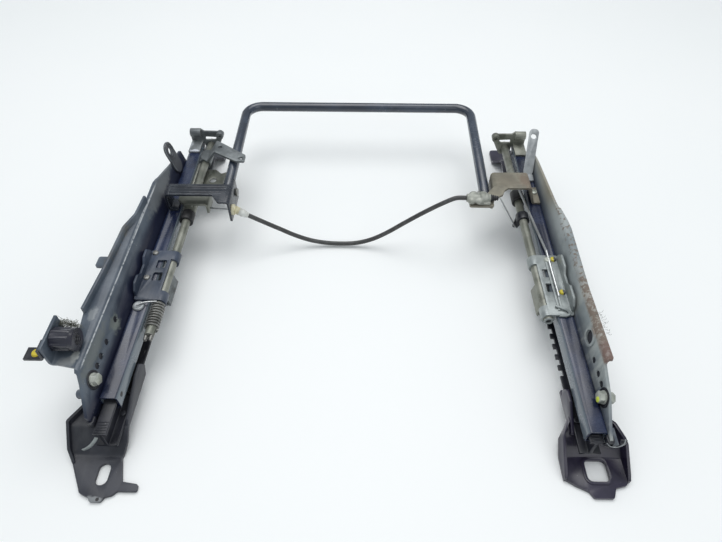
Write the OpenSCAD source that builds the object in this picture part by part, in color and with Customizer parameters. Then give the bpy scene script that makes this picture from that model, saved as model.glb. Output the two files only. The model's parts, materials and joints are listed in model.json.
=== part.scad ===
// Pair of car seat slide rails with a lift bar and a cable between the latches. Sizes in millimetres.
// Rail coordinates: x from the mid plane between the rails, y forward, z up from the floor.
// The pieces of a side are drawn at u inboard of their rail's centre line; the right side is mirrored.

/* [Rails] */
// distance between the centre lines of the rails
rail_gap = 408; // [370:1:460]
// top of the feet, where the lower rails sit
saddle_top = 18; // [15:0.5:24]
// front end of the lower rails
lower_front = 204; // [200:1:208]
// length of a lower rail
lower_len = 415; // [411:1:418]
// width of a lower rail's base
base_w = 18; // [17.6:0.1:18.4]
// thickness of a lower rail's base and head
base_t = 2.5; // [2:0.1:3.5]
// thickness of a lower rail's web
web_w = 3; // [2.6:0.1:3.3]
// height of a lower rail's web
web_h = 17; // [16:0.5:20]
// width of a lower rail's head
head_w = 11.4; // [10.6:0.1:11.6]
// outer width of the upper channels
upper_w = 16; // [15.8:0.1:16.6]
// wall of the upper channels
upper_wall = 1.8; // [1.6:0.1:1.9]
// front end of the upper channels
upper_front = 178; // [174:1:182]
// length of the left upper channel
left_upper_len = 360; // [352:1:364]
// length of the right upper channel
right_upper_len = 384; // [376:1:385]
// slot between the lips of an upper channel
lip_gap = 5.2; // [4.4:0.1:5.6]
// diameter of the balls on the lips
ball_d = 4.2; // [3.8:0.1:4.3]
// diameter of the load rollers
roller_d = 5.8; // [5:0.1:7]
// free play of balls and rollers on each side
roll_clear = 0.1; // [0.05:0.01:0.15]

/* [Feet] */
// sheet of the feet
foot_sheet = 3; // [2.5:0.1:4]
// rear tip of the left foot behind the rail's end
left_foot_tip = 41; // [40:1:45]
// rear tip of the right foot behind the rail's end
right_foot_tip = 31; // [29:1:35]
// width of the left foot's oval slot
slot_w = 10.5; // [9:0.1:12]
// length of the left foot's oval slot
slot_len = 19; // [16:0.5:24]
// side of the right foot's square hole
square_hole = 19; // [12:0.5:20]
// diameter of the front bolt holes
front_hole_d = 11; // [8:0.1:14]
// height of the inner tongues above the floor
tongue_top = 33; // [30:0.5:35]

/* [Latch] */
// pitch of the lock notches
notch_pitch = 12; // [11:0.1:13]
// width of a lock notch
notch_w = 7; // [6:0.1:7.5]
// width of a lock tooth
tooth_w = 5; // [3.5:0.1:5.4]
// depth of a lock notch
notch_depth = 3.2; // [3:0.1:3.6]
// diameter of the torque rods
rod_d = 9; // [8:0.1:9.4]
// torque rods inboard of the rail's centre
rod_u = 16; // [15.9:0.1:17]
// turn of a lock from the stored pose to the locked pose
lock_swing = 12; // [11.5:0.1:13]
// sheet of the latch brackets
latch_sheet = 2; // [1.5:0.1:2.4]
// length of the left latch bracket
left_latch_len = 66; // [64:0.5:70]
// length of the right latch bracket
right_latch_len = 78; // [74:0.5:82]
// length of a bearing ear
ear_len = 12; // [9:0.5:14]
// wire of the torsion spring
spring_wire = 2; // [1.5:0.1:2.2]
// running clearance round a turning rod
rod_clear = 0.08; // [0.04:0.01:0.1]

/* [Handle] */
// diameter of the lift bar
bar_d = 12; // [10:0.1:13]
// centre line radius of the lift bar's bends
bar_bend = 20; // [16:0.5:28]
// pivot of the lift bar
pivot_y = 76; // [75:0.5:77]
// lift bar's cross piece ahead of its pivot
bar_reach = 166.5; // [160:0.5:180]
// slope of the lift bar in the stored pose
bar_slope = 2.5; // [2:0.1:3]
// left leg inboard of the left rail's centre
left_leg_u = 58; // [57:0.5:60]
// right leg inboard of the right rail's centre
right_leg_u = 57.5; // [56.5:0.5:58.5]
// diameter of the pivot pins
pin_d = 6; // [5:0.1:7]
// clearance of the pins in the flanges
pin_clear = 0.08; // [0.04:0.01:0.1]

/* [Brackets] */
// sheet of the side, cable and front brackets
sheet = 2.5; // [2:0.1:3]
// top of the left side bracket above the channel's top
left_rise = 30; // [29:0.5:31]
// top of the right side bracket above the channel's top
right_rise = 26; // [25:0.5:27]
// outward lean of the left side bracket
left_lean = 15; // [12:0.5:17]
// outward lean of the right side bracket
right_lean = 9; // [7:0.5:11]
// height of the left ledge's lip
lip_rise = 7; // [4:0.5:10]
// diameter of the anchor nut
nut_d = 20; // [17:0.5:22]
// length of the anchor nut
nut_len = 20; // [14:0.5:22]
// bore of the anchor nut
nut_bore = 10.4; // [8:0.1:12]
// diameter of the small wall holes
wall_hole_d = 6; // [4:0.1:7]
// diameter of the right ringed hole
ring_hole_d = 13; // [9:0.1:14]
// diameter of the seat ear holes
ear_hole_d = 8.4; // [6:0.1:9]

/* [Cable] */
// diameter of the cable sheath
sheath_d = 5; // [4:0.1:6]
// diameter of the inner wire
wire_d = 1.8; // [1.2:0.1:2.2]

/* [Hidden] */

$fn = 40;
eps = 0.02;
fit = 0.05;
run = 0.3;

// heights
base_top = saddle_top + base_t;
head_bottom = base_top + web_h;
head_top = head_bottom + base_t;
lip_top = head_bottom - ball_d - 2 * roll_clear;
ceiling = head_top + roller_d + 2 * roll_clear;
channel_top = ceiling + upper_wall;
rod_r = rod_d / 2;
ear_r = rod_r + rod_clear + latch_sheet;
rod_z = channel_top + latch_sheet - ear_r;
left_wall_top = channel_top + left_rise;
right_wall_top = channel_top + right_rise;
wall_in = -upper_w / 2;
wall_out = wall_in - sheet;
wall_mid = wall_in - sheet / 2;
wall_bottom = lip_top + 1;
lean_z = channel_top - 2;
ledge_mid = left_wall_top - sheet / 2;
pivot_z = channel_top + 9.4;

// stations along the rails
lower_rear = lower_front - lower_len;
left_upper_rear = upper_front - left_upper_len;
right_upper_rear = upper_front - right_upper_len;
left_lock_y = -43;
right_lock_y = -49;
left_latch_rear = left_lock_y - left_latch_len / 2;
right_latch_rear = right_lock_y - right_latch_len / 2;
left_latch_rivets_y = [-14, -48];
right_latch_rivets_y = [-16, -60];
left_notches_behind = 3;
right_notches_behind = 7;
notches_ahead = 11;
cable_y = 49;
arm_t = 2.5;
arm_out = 8;
arm_y = upper_front + arm_out;
rod_front = arm_y + arm_t + 5;
saddle_len = 71;
front_saddle_rear = lower_front - 54;
rear_rivets = [lower_rear + 29, lower_rear + 51];
front_rivets = [lower_front - 44, lower_front - 22];
rivet_u = base_w / 2 - 3.7;
rivet_d = 4;

// frame: the middle of the bounding box on the floor
hook_tip = -60.5;
right_foot_side = -34.5;
left_reach = -rail_gap / 2 + hook_tip;
right_reach = rail_gap / 2 - right_foot_side;
bar_front_y = pivot_y + bar_reach * cos(bar_slope) + bar_d / 2;
foot_rear_y = lower_rear - max(left_foot_tip, right_foot_tip);
centre_x = (left_reach + right_reach) / 2;
centre_y = (bar_front_y + foot_rear_y) / 2;

// brackets of the lift bar and the cable
left_flange_u = left_leg_u + bar_d / 2 + 1.5;
right_flange_u = right_leg_u - bar_d / 2 - 1.5 - sheet;
left_plate_z = channel_top + 23;
right_plate_z = channel_top + 22.5;
clamp_r = 4.5;
clamp_z = right_plate_z + sheet / 2 + clamp_r;
clamp_u = [58, 83.5];

// cable route in rail coordinates, from the ferrule to the clamp
ferrule_dip = 32;
ferrule_len = 12;
ferrule_z = pivot_z - 2;
ferrule_from = [-rail_gap / 2 + left_flange_u + sheet + 3.5, cable_y, ferrule_z];
ferrule_dir = [cos(ferrule_dip), 0, -sin(ferrule_dip)];
cable_end = [rail_gap / 2 - clamp_u[1], cable_y, clamp_z];
cable_route = [
    ferrule_from + ferrule_dir * (ferrule_len + run), ferrule_from + ferrule_dir * (ferrule_len + 8),
    [-100, cable_y, 35], [-86, cable_y, 26.6],
    [-70, cable_y, 17], [-52, cable_y, 9], [-34, cable_y, 5], [-16, cable_y, 4],
    [2, cable_y, 5.5], [20, cable_y, 12], [37, cable_y, 23], [53, cable_y, 36],
    [68, cable_y, 48], [82, cable_y, 58.5], [95, cable_y, 67.5],
    cable_end - [12, 0, 0.8], cable_end - [run, 0, 0],
];

// outlines
function unit(v) = v / norm(v);
function turn(d, e) = atan2(d[0] * e[1] - d[1] * e[0], d[0] * e[0] + d[1] * e[1]);
function heading(d) = atan2(d[1], d[0]);
function side_of(a) = [-sin(a), cos(a)];

// points and normals round the corner b of the path a, b, c
function bend(a, b, c, r, n) =
    let (
        d = unit(b - a),
        sweep = turn(d, unit(c - b)),
        s = sign(sweep),
        start = b - d * r * tan(abs(sweep) / 2),
        centre = start + side_of(heading(d)) * r * s
    )
    abs(sweep) < 1
        ? [[b, side_of(heading(d))]]
        : [for (i = [0:n]) let (q = side_of(heading(d) + sweep * i / n)) [centre - q * r * s, q]];

// outline of a folded sheet whose middle follows the path
function folded(path, t, r, n = 4) =
    let (
        last = len(path) - 1,
        inner = [for (i = [1:1:last - 1]) each bend(path[i - 1], path[i], path[i + 1], r, n)],
        first_n = side_of(heading(path[1] - path[0])),
        last_n = side_of(heading(path[last] - path[last - 1])),
        line = concat([[path[0], first_n]], inner, [[path[last], last_n]]),
        m = len(line) - 1
    )
    concat([for (k = line) k[0] + k[1] * t / 2], [for (i = [m:-1:0]) line[i][0] - line[i][1] * t / 2]);

// closed outline with round corners
function rounded(pts, r, n = 5) =
    let (m = len(pts))
    [for (i = [0:m - 1]) each [for (k = bend(pts[(i + m - 1) % m], pts[i], pts[(i + 1) % m], r, n)) k[0]]];

function box_outline(x0, x1, y0, y1) = [[x0, y0], [x1, y0], [x1, y1], [x0, y1]];

// places
module on_left() {
    translate([-rail_gap / 2 - centre_x, -centre_y, 0]) children();
}

module on_right() {
    translate([rail_gap / 2 - centre_x, -centre_y, 0]) mirror([1, 0, 0]) children();
}

module on_middle() {
    translate([-centre_x, -centre_y, 0]) children();
}

// extrusions of u and z profiles along y, of y and z profiles along u, and of plans along z
module along_y(from, to) {
    translate([0, to, 0]) rotate([90, 0, 0]) linear_extrude(to - from) children();
}

module along_u(from, to) {
    translate([from, 0, 0]) rotate([90, 0, 90]) linear_extrude(to - from) children();
}

module along_z(from, to) {
    translate([0, 0, from]) linear_extrude(to - from) children();
}

// round bars along u, along y and between two points
module bar_u(from, to, y, z, r) {
    translate([from, y, z]) rotate([0, 90, 0]) cylinder(r = r, h = to - from);
}

module bar_y(from, to, u, z, r) {
    translate([u, to, z]) rotate([90, 0, 0]) cylinder(r = r, h = to - from);
}

module bar_between(p, q, r) {
    d = q - p;
    translate(p) rotate([0, acos(d[2] / norm(d)), heading(d)]) cylinder(r = r, h = norm(d));
}

// tube swept along points
function sweep_dir(pts, i) = unit(pts[min(i + 1, len(pts) - 1)] - pts[max(i - 1, 0)]);
function sweep_ring(p, d, r, n, up) =
    let (a = unit(cross(up, d)), b = cross(d, a))
    [for (k = [0:n - 1]) p + r * (a * cos(360 * k / n) + b * sin(360 * k / n))];

module swept(pts, r, n, up) {
    m = len(pts);
    ends = [[for (k = [n - 1:-1:0]) k], [for (k = [0:n - 1]) (m - 1) * n + k]];
    sides = [for (i = [0:m - 2], k = [0:n - 1])
        [i * n + k, i * n + (k + 1) % n, (i + 1) * n + (k + 1) % n, (i + 1) * n + k]];
    polyhedron(
        [for (i = [0:m - 1]) each sweep_ring(pts[i], sweep_dir(pts, i), r, n, up)],
        concat(ends, sides)
    );
}

function smooth_at(p, q, a, b, t) =
    q + (a - p) * t / 2 + (2 * p - 5 * q + 4 * a - b) * t * t / 2 + (3 * q - p - 3 * a + b) * t * t * t / 2;
function smoothed(pts, n) =
    let (m = len(pts) - 1)
    concat(
        [for (i = [0:m - 1], k = [0:n - 1])
            smooth_at(pts[max(i - 1, 0)], pts[i], pts[i + 1], pts[min(i + 2, m)], k / n)],
        [pts[m]]
    );

// lower rails: a rolled section with notches in the inboard edge of its base
function lower_section() =
    let (b = base_w / 2, w = web_w / 2, h = head_w / 2)
    [
        [-b, saddle_top], [b, saddle_top], [b, base_top], [w, base_top],
        [w, head_bottom], [h, head_bottom], [h, head_top], [-h, head_top],
        [-h, head_bottom], [-w, head_bottom], [-w, base_top], [-b, base_top],
    ];

module rivet_places() {
    for (y = concat(rear_rivets, front_rivets), u = [-rivet_u, rivet_u])
        translate([u, y, 0]) children();
}

module rivet_bores(z, depth) {
    rivet_places() translate([0, 0, z]) cylinder(d = rivet_d + 2 * fit, h = depth);
}

module lower_rail(lock_y, behind) {
    difference() {
        along_y(lower_rear, lower_front) polygon(rounded(lower_section(), 0.8, 3));
        for (k = [-behind:notches_ahead])
            translate([base_w / 2 - notch_depth, lock_y + k * notch_pitch - notch_w / 2, saddle_top - 1])
                cube([notch_depth + 1, notch_w, base_t + 2]);
        rivet_bores(saddle_top - 1, base_t + 2);
    }
}

module left_lower_rail() {
    color("#2c3038") on_left() lower_rail(left_lock_y, left_notches_behind);
}

module right_lower_rail() {
    color("#2c3038") on_right() lower_rail(right_lock_y, right_notches_behind);
}

module foot_rivets() {
    rivet_places() {
        translate([0, 0, saddle_top - foot_sheet - 1.8]) cylinder(d1 = 4.8, d2 = 6, h = 1.8);
        translate([0, 0, saddle_top - foot_sheet]) cylinder(d = rivet_d, h = foot_sheet + base_t);
        translate([0, 0, base_top]) cylinder(d1 = 6, d2 = 4.8, h = 1.8);
    }
}

module left_foot_rivets() {
    color("#3a3d42") on_left() foot_rivets();
}

module right_foot_rivets() {
    color("#3a3d42") on_right() foot_rivets();
}

// feet: pressed sheet that steps from the floor up to a saddle under the rail
saddle_mid = saddle_top - foot_sheet / 2;

module pressed_foot(path, plan, corner) {
    intersection() {
        along_u(-rail_gap / 2, rail_gap / 2) polygon(folded(path, foot_sheet, 7));
        along_z(-1, saddle_top + 1) polygon(rounded(plan, corner));
    }
}

module foot_bores() {
    rivet_bores(saddle_top - foot_sheet - 1, foot_sheet + 2);
}

// rear feet are drawn with y from the rail's rear end
module at_rear() {
    translate([0, lower_rear, 0]) children();
}

function rear_path(ramp) = [
    [-90, foot_sheet / 2], [ramp[0], foot_sheet / 2], [ramp[1], saddle_mid], [saddle_len + 20, saddle_mid],
];

tongue_u = base_w / 2 + run;
tongue_mid = tongue_u + sheet / 2;
tongue_in = tongue_u + sheet;

// upright tongue along the channel's inboard wall
module foot_tongue(rear, front) {
    along_u(tongue_u, tongue_in)
        polygon(rounded([
            [rear, saddle_top - foot_sheet], [front, saddle_top - foot_sheet],
            [front + 5, tongue_top - 9], [front, tongue_top], [front - 12, tongue_top],
            [rear + 8, saddle_top + 4],
        ], 2.5));
}

// upturned edge that follows a path in plan
module upturned(path, side, r) {
    intersection() {
        along_z(0, tongue_top) polygon(folded(path, sheet, r));
        along_u(-rail_gap / 2, rail_gap / 2) polygon(side);
    }
}

left_ramp = [-1, 19];
left_slot_at = [-3.5, -18];

module left_rear_foot() {
    plan = [
        [-41, 20], [-38, 0], [-18.5, -34], [-9.5, -38], [-8, -left_foot_tip], [1, -left_foot_tip],
        [3.5, -37], [9, -35.5], [12.5, -32], [29, -32], [28.5, -26], [14.5, -24], [8.5, -3],
        [tongue_in, 9], [tongue_in, saddle_len], [-14, saddle_len], [-16, 53], [-30, 39],
    ];
    rim_side = [[-11, 0], [51, saddle_top - foot_sheet], [51, saddle_top + 6], [19, saddle_top + 6], [-11, foot_sheet]];
    slot_end = (slot_len - slot_w) / 2;
    color("#23262c") on_left() difference() {
        at_rear() difference() {
            union() {
                pressed_foot(rear_path(left_ramp), plan, 1.6);
                foot_tongue(15, saddle_len + 2);
                upturned([[-31.4, -9], [-36.7, 0.4], [-39.7, 20.2], [-29.2, 38], [-18.1, 49.1]], rim_side, 4);
            }
            translate([left_slot_at[0], left_slot_at[1], -1]) {
                for (s = [-1, 1]) translate([0, s * slot_end, 0]) cylinder(d = slot_w, h = foot_sheet + 2);
                translate([-slot_w / 2, -slot_end, 0]) cube([slot_w, 2 * slot_end, foot_sheet + 2]);
            }
        }
        foot_bores();
    }
}

right_ramp = [4, 23];
right_hole_at = [-8.5, -8];

module right_rear_foot() {
    side = right_foot_side;
    plan = [
        [side, 8], [side, -15], [-30.5, -20], [-21, -22.5], [-17.5, -right_foot_tip], [-1.5, -right_foot_tip],
        [2, -25.5], [11.5, -21], [21, -15], [21, 17], [tongue_in, 31], [tongue_in, saddle_len - 10],
        [-14, saddle_len - 10], [-16, 39], [-28, 27],
    ];
    rim_side = [[-19, 0], [right_ramp[0], 0], [right_ramp[1], saddle_top - foot_sheet],
        [41, saddle_top - foot_sheet], [41, saddle_top + 5], [13, saddle_top + 5], [-13, foot_sheet + 5], [-19, foot_sheet]];
    h = square_hole / 2;
    color("#23262c") on_right() difference() {
        at_rear() difference() {
            union() {
                pressed_foot(rear_path(right_ramp), plan, 1.6);
                foot_tongue(13, saddle_len - 18);
                upturned([[side + 1.3, -17], [side + 1.3, 8], [-27.2, 26], [-17.5, 35.5]], rim_side, 4);
                upturned([[19.7, -16], [19.7, 16], [tongue_mid, 32], [tongue_mid, 40]], rim_side, 4);
                along_z(1, foot_sheet + 1) translate(right_hole_at)
                    polygon(rounded(box_outline(-h - 2.5, h + 2.5, -h - 2.5, h + 2.5), 6.5));
            }
            along_z(-1, foot_sheet + 2) translate(right_hole_at)
                polygon(rounded(box_outline(-h, h, -h, h), 4.5));
        }
        foot_bores();
    }
}

front_hole_at = [0, lower_front + 17];

module front_foot() {
    path = [
        [0, saddle_mid], [lower_front - 10, saddle_mid],
        [lower_front + 7, foot_sheet / 2], [lower_front + 90, foot_sheet / 2],
    ];
    wide = lower_front + 2;
    front = lower_front + 32;
    plan = [
        [-15, front_saddle_rear], [15, front_saddle_rear], [15, wide - 10], [22, wide], [22, front],
        [-22, front], [-22, wide], [-15, wide - 10],
    ];
    difference() {
        pressed_foot(path, plan, 4);
        foot_bores();
        translate([front_hole_at[0], front_hole_at[1], -1]) cylinder(d = front_hole_d, h = foot_sheet + 2);
    }
}

module left_front_foot() {
    color("#23262c") on_left() front_foot();
}

module right_front_foot() {
    color("#23262c") on_right() front_foot();
}

// upper channels with hooked lips and holes for the latch rivets
latch_rivet_u = -2;
latch_rivet_d = 4.6;

module latch_rivet_holes(ys) {
    for (y = ys) translate([latch_rivet_u, y, ceiling - 1])
        cylinder(d = latch_rivet_d + 2 * fit, h = upper_wall + latch_sheet + 2);
}

module upper_rail(rear, rivets) {
    u = (upper_w - upper_wall) / 2;
    low = lip_top - upper_wall / 2;
    high = channel_top - upper_wall / 2;
    path = [[-lip_gap / 2, low], [-u, low], [-u, high], [u, high], [u, low], [lip_gap / 2, low]];
    difference() {
        along_y(rear, upper_front) polygon(folded(path, upper_wall, 2));
        latch_rivet_holes(rivets);
    }
}

module left_upper_rail() {
    color("#343a46") on_left() upper_rail(left_upper_rear, left_latch_rivets_y);
}

module right_upper_rail() {
    color("#343a46") on_right() upper_rail(right_upper_rear, right_latch_rivets_y);
}

// rolling pieces inside the rails
ball_u = web_w / 2 + ball_d / 2 + 0.25;
ball_stations = [-120, -60, 60, 120];
roller_stations = [-110, 0, 110];
roller_len = 10;

module balls() {
    for (y = ball_stations, s = [-1, 1])
        translate([s * ball_u, y, lip_top + roll_clear + ball_d / 2]) sphere(d = ball_d, $fn = 18);
}

module rollers() {
    for (y = roller_stations)
        bar_u(-roller_len / 2, roller_len / 2, y, head_top + roll_clear + roller_d / 2, roller_d / 2);
}

module left_balls() {
    color("#9a9ea4") on_left() balls();
}

module right_balls() {
    color("#9a9ea4") on_right() balls();
}

module left_rollers() {
    color("#9a9ea4") on_left() rollers();
}

module right_rollers() {
    color("#9a9ea4") on_right() rollers();
}

// side brackets: sheet that stands on the channel's outer wall, leans out and folds to a ledge
left_wall_rear = left_upper_rear - 20;
right_wall_rear = right_upper_rear - 6;
wall_front = 150;
lug_y = [left_wall_rear + 34, left_wall_rear + 68];
lug_u = -40.5;
lug_fold = 2.6;
nut_at = [(lug_y[0] + lug_y[1]) / 2, left_wall_top + nut_d / 2 + lug_fold - sheet / 2 + fit];
left_hole_z = channel_top + 12;
left_holes = [for (d = [44, 54, 69, 94]) left_wall_rear + d];
right_hole_z = channel_top + 8;
right_holes = [for (d = [46, 56, 70]) right_wall_rear + d];
left_bolt_at = [left_wall_rear + 31, channel_top + 11];
right_bolt_at = [right_wall_rear + 34, channel_top + 7];
ring_at = [right_wall_rear + 91, channel_top + 13];
bolt_d = 6;

function lean_mid(z, lean) = wall_mid - max(0, z - lean_z) * tan(lean);

module on_wall(at, lean) {
    translate([lean_mid(at[1], lean), at[0], at[1]]) rotate([0, 90 - lean, 0]) children();
}

module wall_hole(at, d, lean) {
    on_wall(at, lean) translate([0, 0, -2 * sheet]) cylinder(d = d, h = 4 * sheet);
}

module leaning_wall(side, plan, top, lean) {
    mid = top - sheet / 2;
    path = [[wall_mid, wall_bottom], [wall_mid, lean_z], [lean_mid(mid, lean), mid], [-70, mid]];
    intersection() {
        along_y(lower_rear - 50, wall_front + 10) polygon(folded(path, sheet, 3));
        along_u(-80, 0) polygon(rounded(side, 1.6));
        along_z(0, 2 * top) polygon(rounded(plan, 1.6));
    }
}

module left_side_bracket() {
    side = [
        [left_wall_rear, wall_bottom], [wall_front, wall_bottom], [wall_front, channel_top + 12],
        [118, channel_top + 17], [62, left_wall_top + 1], [left_wall_rear + 30, left_wall_top + 1],
        [left_wall_rear + 20, channel_top + 20], [left_wall_rear, channel_top + 2],
    ];
    edge = [[-19, 36], [-20.5, 8], [-27, -11], [-28.5, -59], [-32.5, lug_y[1] + 19]];
    plan = concat(
        [[0, wall_front + 1], [-20, wall_front + 1]], edge,
        [[-30.5, lug_y[1] + 3], [lug_u + 4, lug_y[1]], [lug_u + 4, lug_y[0]], [-20, lug_y[0] - 3],
         [-20, left_wall_rear - 13], [0, left_wall_rear - 13]]
    );
    lug = [[lug_u + 8, ledge_mid], [lug_u - sheet / 2, ledge_mid], [lug_u - sheet / 2, nut_at[1] + nut_d / 2]];
    color("#3b4350") on_left() difference() {
        union() {
            leaning_wall(side, plan, left_wall_top, left_lean);
            along_z(left_wall_top - sheet, left_wall_top + lip_rise)
                polygon(folded([for (p = edge) p + [sheet / 2, 0]], sheet, 12));
            along_z(left_wall_top - sheet, left_wall_top) polygon(rounded(box_outline(-41, -25, -59, -46), 2));
            along_y(lug_y[0], lug_y[1]) polygon(folded(lug, sheet, lug_fold));
            on_wall([left_wall_rear + 19, channel_top + 10], left_lean)
                translate([0, 0, -sheet / 2 - 7]) cylinder(r = 4, h = 8);
        }
        for (y = left_holes) wall_hole([y, left_hole_z], wall_hole_d, left_lean);
        wall_hole(left_bolt_at, bolt_d + 2 * fit, left_lean);
        bar_u(lug_u - sheet - 1, lug_u + 1, nut_at[0], nut_at[1], nut_bore / 2 + 0.6);
    }
}

module right_side_bracket() {
    rear = right_wall_rear;
    side = [
        [rear, wall_bottom], [wall_front, wall_bottom], [wall_front, channel_top + 12],
        [130, channel_top + 15], [44, right_wall_top - 3], [10, right_wall_top + 1], [rear + 60, right_wall_top + 1],
        [rear + 58, right_wall_top - 6], [rear + 32, channel_top + 13], [rear + 12, channel_top + 3],
        [rear, channel_top - 2],
    ];
    plan = [[0, wall_front + 1], [-20, wall_front + 1], [-16, 46], [-19.5, 6], [-17.5, -73], [-18.5, rear + 61],
        [-16, rear + 55], [-16, rear - 8], [0, rear - 8]];
    tab_z = wall_bottom + sheet / 2;
    color("#6d7076") on_right() difference() {
        union() {
            leaning_wall(side, plan, right_wall_top, right_lean);
            on_wall(ring_at, right_lean) cylinder(d = ring_hole_d + 5, h = sheet / 2 + 1.4);
            along_y(rear, rear + 16) polygon(folded(
                [[wall_mid, tab_z + 8], [wall_mid, tab_z], [wall_out - 8, tab_z]], sheet, 2));
        }
        for (y = right_holes) wall_hole([y, right_hole_z], wall_hole_d, right_lean);
        wall_hole(right_bolt_at, bolt_d + 2 * fit, right_lean);
        wall_hole(ring_at, ring_hole_d, right_lean);
    }
}

// anchor nut and hook tab on the left lug
module left_anchor_nut() {
    color("#85898c") on_left() difference() {
        bar_u(lug_u, lug_u + nut_len, nut_at[0], nut_at[1], nut_d / 2);
        bar_u(lug_u - 1, lug_u + nut_len + 1, nut_at[0], nut_at[1], nut_bore / 2);
    }
}

tab_in = lug_u - sheet;
tab_z = left_wall_top + 7;
tab_y = [nut_at[0] - 18, nut_at[0] - nut_bore / 2 - 1];
tab_rivet_u = hook_tip + 9;
tab_rivet_y = (tab_y[0] + tab_y[1]) / 2;

module left_hook_tab() {
    path = [[tab_in - sheet / 2, nut_at[1] + 8], [tab_in - sheet / 2, tab_z], [hook_tip, tab_z]];
    color("#4a4f58") on_left() difference() {
        along_y(tab_y[0], tab_y[1]) polygon(folded(path, sheet, 2.6));
        translate([tab_rivet_u, tab_rivet_y, tab_z - sheet])
            cylinder(d = 4 + 2 * fit, h = 2 * sheet);
    }
}

module left_hook_rivet() {
    color("#c9b23c") on_left() translate([tab_rivet_u, tab_rivet_y, tab_z]) {
        translate([0, 0, sheet / 2]) cylinder(d1 = 8, d2 = 6, h = 1.6);
        translate([0, 0, -sheet / 2]) cylinder(d = 4, h = sheet);
    }
}

// latch brackets: sheet riveted on the channel's top, with two ears round the rod
latch_top = channel_top + latch_sheet;
window_len = 11;

module latch_bracket(rear, length, windows, rivets) {
    front = rear + length;
    mid = rear + length / 2;
    wave = [
        [rear + 4, channel_top], [front - 4, channel_top], [front - 5, latch_top + 6], [front - 11, latch_top + 13],
        [mid + 12, latch_top + 13], [mid + 6, latch_top + 7], [mid - 6, latch_top + 7], [mid - 12, latch_top + 12],
        [rear + 11, latch_top + 12], [rear + 5, latch_top + 6],
    ];
    difference() {
        union() {
            along_z(channel_top, latch_top) polygon(rounded(box_outline(-7.5, rod_u, rear, front), 2));
            along_u(-7.5, -7.5 + latch_sheet) polygon(rounded(wave, 2.4));
            for (y = [rear, front - ear_len]) bar_y(y, y + ear_len, rod_u, rod_z, ear_r);
        }
        bar_y(rear - 1, front + 1, rod_u, rod_z, rod_r + rod_clear);
        for (y = windows)
            along_z(channel_top - 1, latch_top + 1) translate([0, y])
                polygon(rounded(box_outline(3, 12.5, -window_len / 2, window_len / 2), 1.2));
        latch_rivet_holes(rivets);
    }
}

module left_latch_bracket() {
    color("#2b2f37") on_left() latch_bracket(
        left_latch_rear, left_latch_len, [left_lock_y + 14, left_lock_y - 3], left_latch_rivets_y);
}

module right_latch_bracket() {
    color("#7c7d6c") on_right() latch_bracket(
        right_latch_rear, right_latch_len, [right_lock_y + 14, right_lock_y - 5], right_latch_rivets_y);
}

module latch_rivets(ys) {
    for (y = ys) translate([latch_rivet_u, y, 0]) {
        translate([0, 0, ceiling]) cylinder(d = latch_rivet_d, h = latch_top - ceiling);
        translate([0, 0, latch_top]) cylinder(d1 = 6.6, d2 = 5, h = 1.8);
    }
}

module left_latch_rivets() {
    color("#8c8f86") on_left() latch_rivets(left_latch_rivets_y);
}

module right_latch_rivets() {
    color("#c9b23c") on_right() latch_rivets(right_latch_rivets_y);
}

// bolts through the walls, with the head inboard
module wall_bolt(at, lean) {
    on_wall(at, lean) {
        translate([0, 0, -sheet / 2 - 5]) cylinder(d = 10, h = 5, $fn = 6);
        translate([0, 0, -sheet / 2]) cylinder(d = bolt_d, h = sheet);
        translate([0, 0, sheet / 2]) cylinder(d = 11.6, h = 1.4);
        translate([0, 0, sheet / 2 + 1.4]) cylinder(d = 10.4, h = 4, $fn = 6);
    }
}

module left_wall_bolt() {
    color("#c9ccc9") on_left() wall_bolt(left_bolt_at, left_lean);
}

module right_wall_bolt() {
    color("#b9b94a") on_right() wall_bolt(right_bolt_at, right_lean);
}

// spring clips on the rear ends of the walls
clip_t = 1.6;
clip_len = 5;

module end_clip(rear, low, high) {
    out = wall_out - clip_t / 2;
    inn = wall_in + clip_t / 2;
    back = rear - clip_t / 2;
    path = [[out, rear + clip_len], [out, back], [inn, back], [inn, rear + clip_len]];
    along_z(wall_bottom + low, wall_bottom + high) polygon(folded(path, clip_t, 0.81, 2));
}

module left_end_clip() {
    color("#26282c") on_left() end_clip(left_wall_rear, 2, 10);
}

module right_end_clip() {
    color("#26282c") on_right() end_clip(right_wall_rear, 5, 11);
}

// seat ears on the front of the channels
left_ear_at = [125, channel_top + 10];
left_ear_hole = 20;
right_ear_at = [-1, 124];
right_ear_len = 56;
right_ear_hole = 47;
right_ear_rise = 39;
right_ear_turn = 11.6;

module left_seat_ear() {
    color("#4b5058") on_left() on_wall(left_ear_at, left_lean) translate([0, 0, sheet / 2 + eps])
        linear_extrude(sheet) difference() {
            polygon(rounded(box_outline(-left_ear_hole - 10, 9, -10, 10), 9));
            translate([-left_ear_hole, 0]) circle(d = ear_hole_d);
        }
}

module right_seat_ear() {
    half = 5.5;
    foot_rear = right_ear_at[1] - 12;
    color("#5c6068") on_right() {
        translate([right_ear_at[0], right_ear_at[1], channel_top + sheet / 2])
            rotate([0, 0, right_ear_turn]) rotate([right_ear_rise, 0, 0]) translate([0, 0, -sheet / 2])
                linear_extrude(sheet) difference() {
                    polygon(rounded(box_outline(-half, half, 0, right_ear_len), 4.5));
                    translate([0, right_ear_hole]) circle(d = min(ear_hole_d, 6.4));
                }
        along_z(channel_top, channel_top + sheet)
            polygon(rounded(box_outline(-6.5, 4.5, foot_rear, right_ear_at[1] + 3), 1.5));
    }
}

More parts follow.
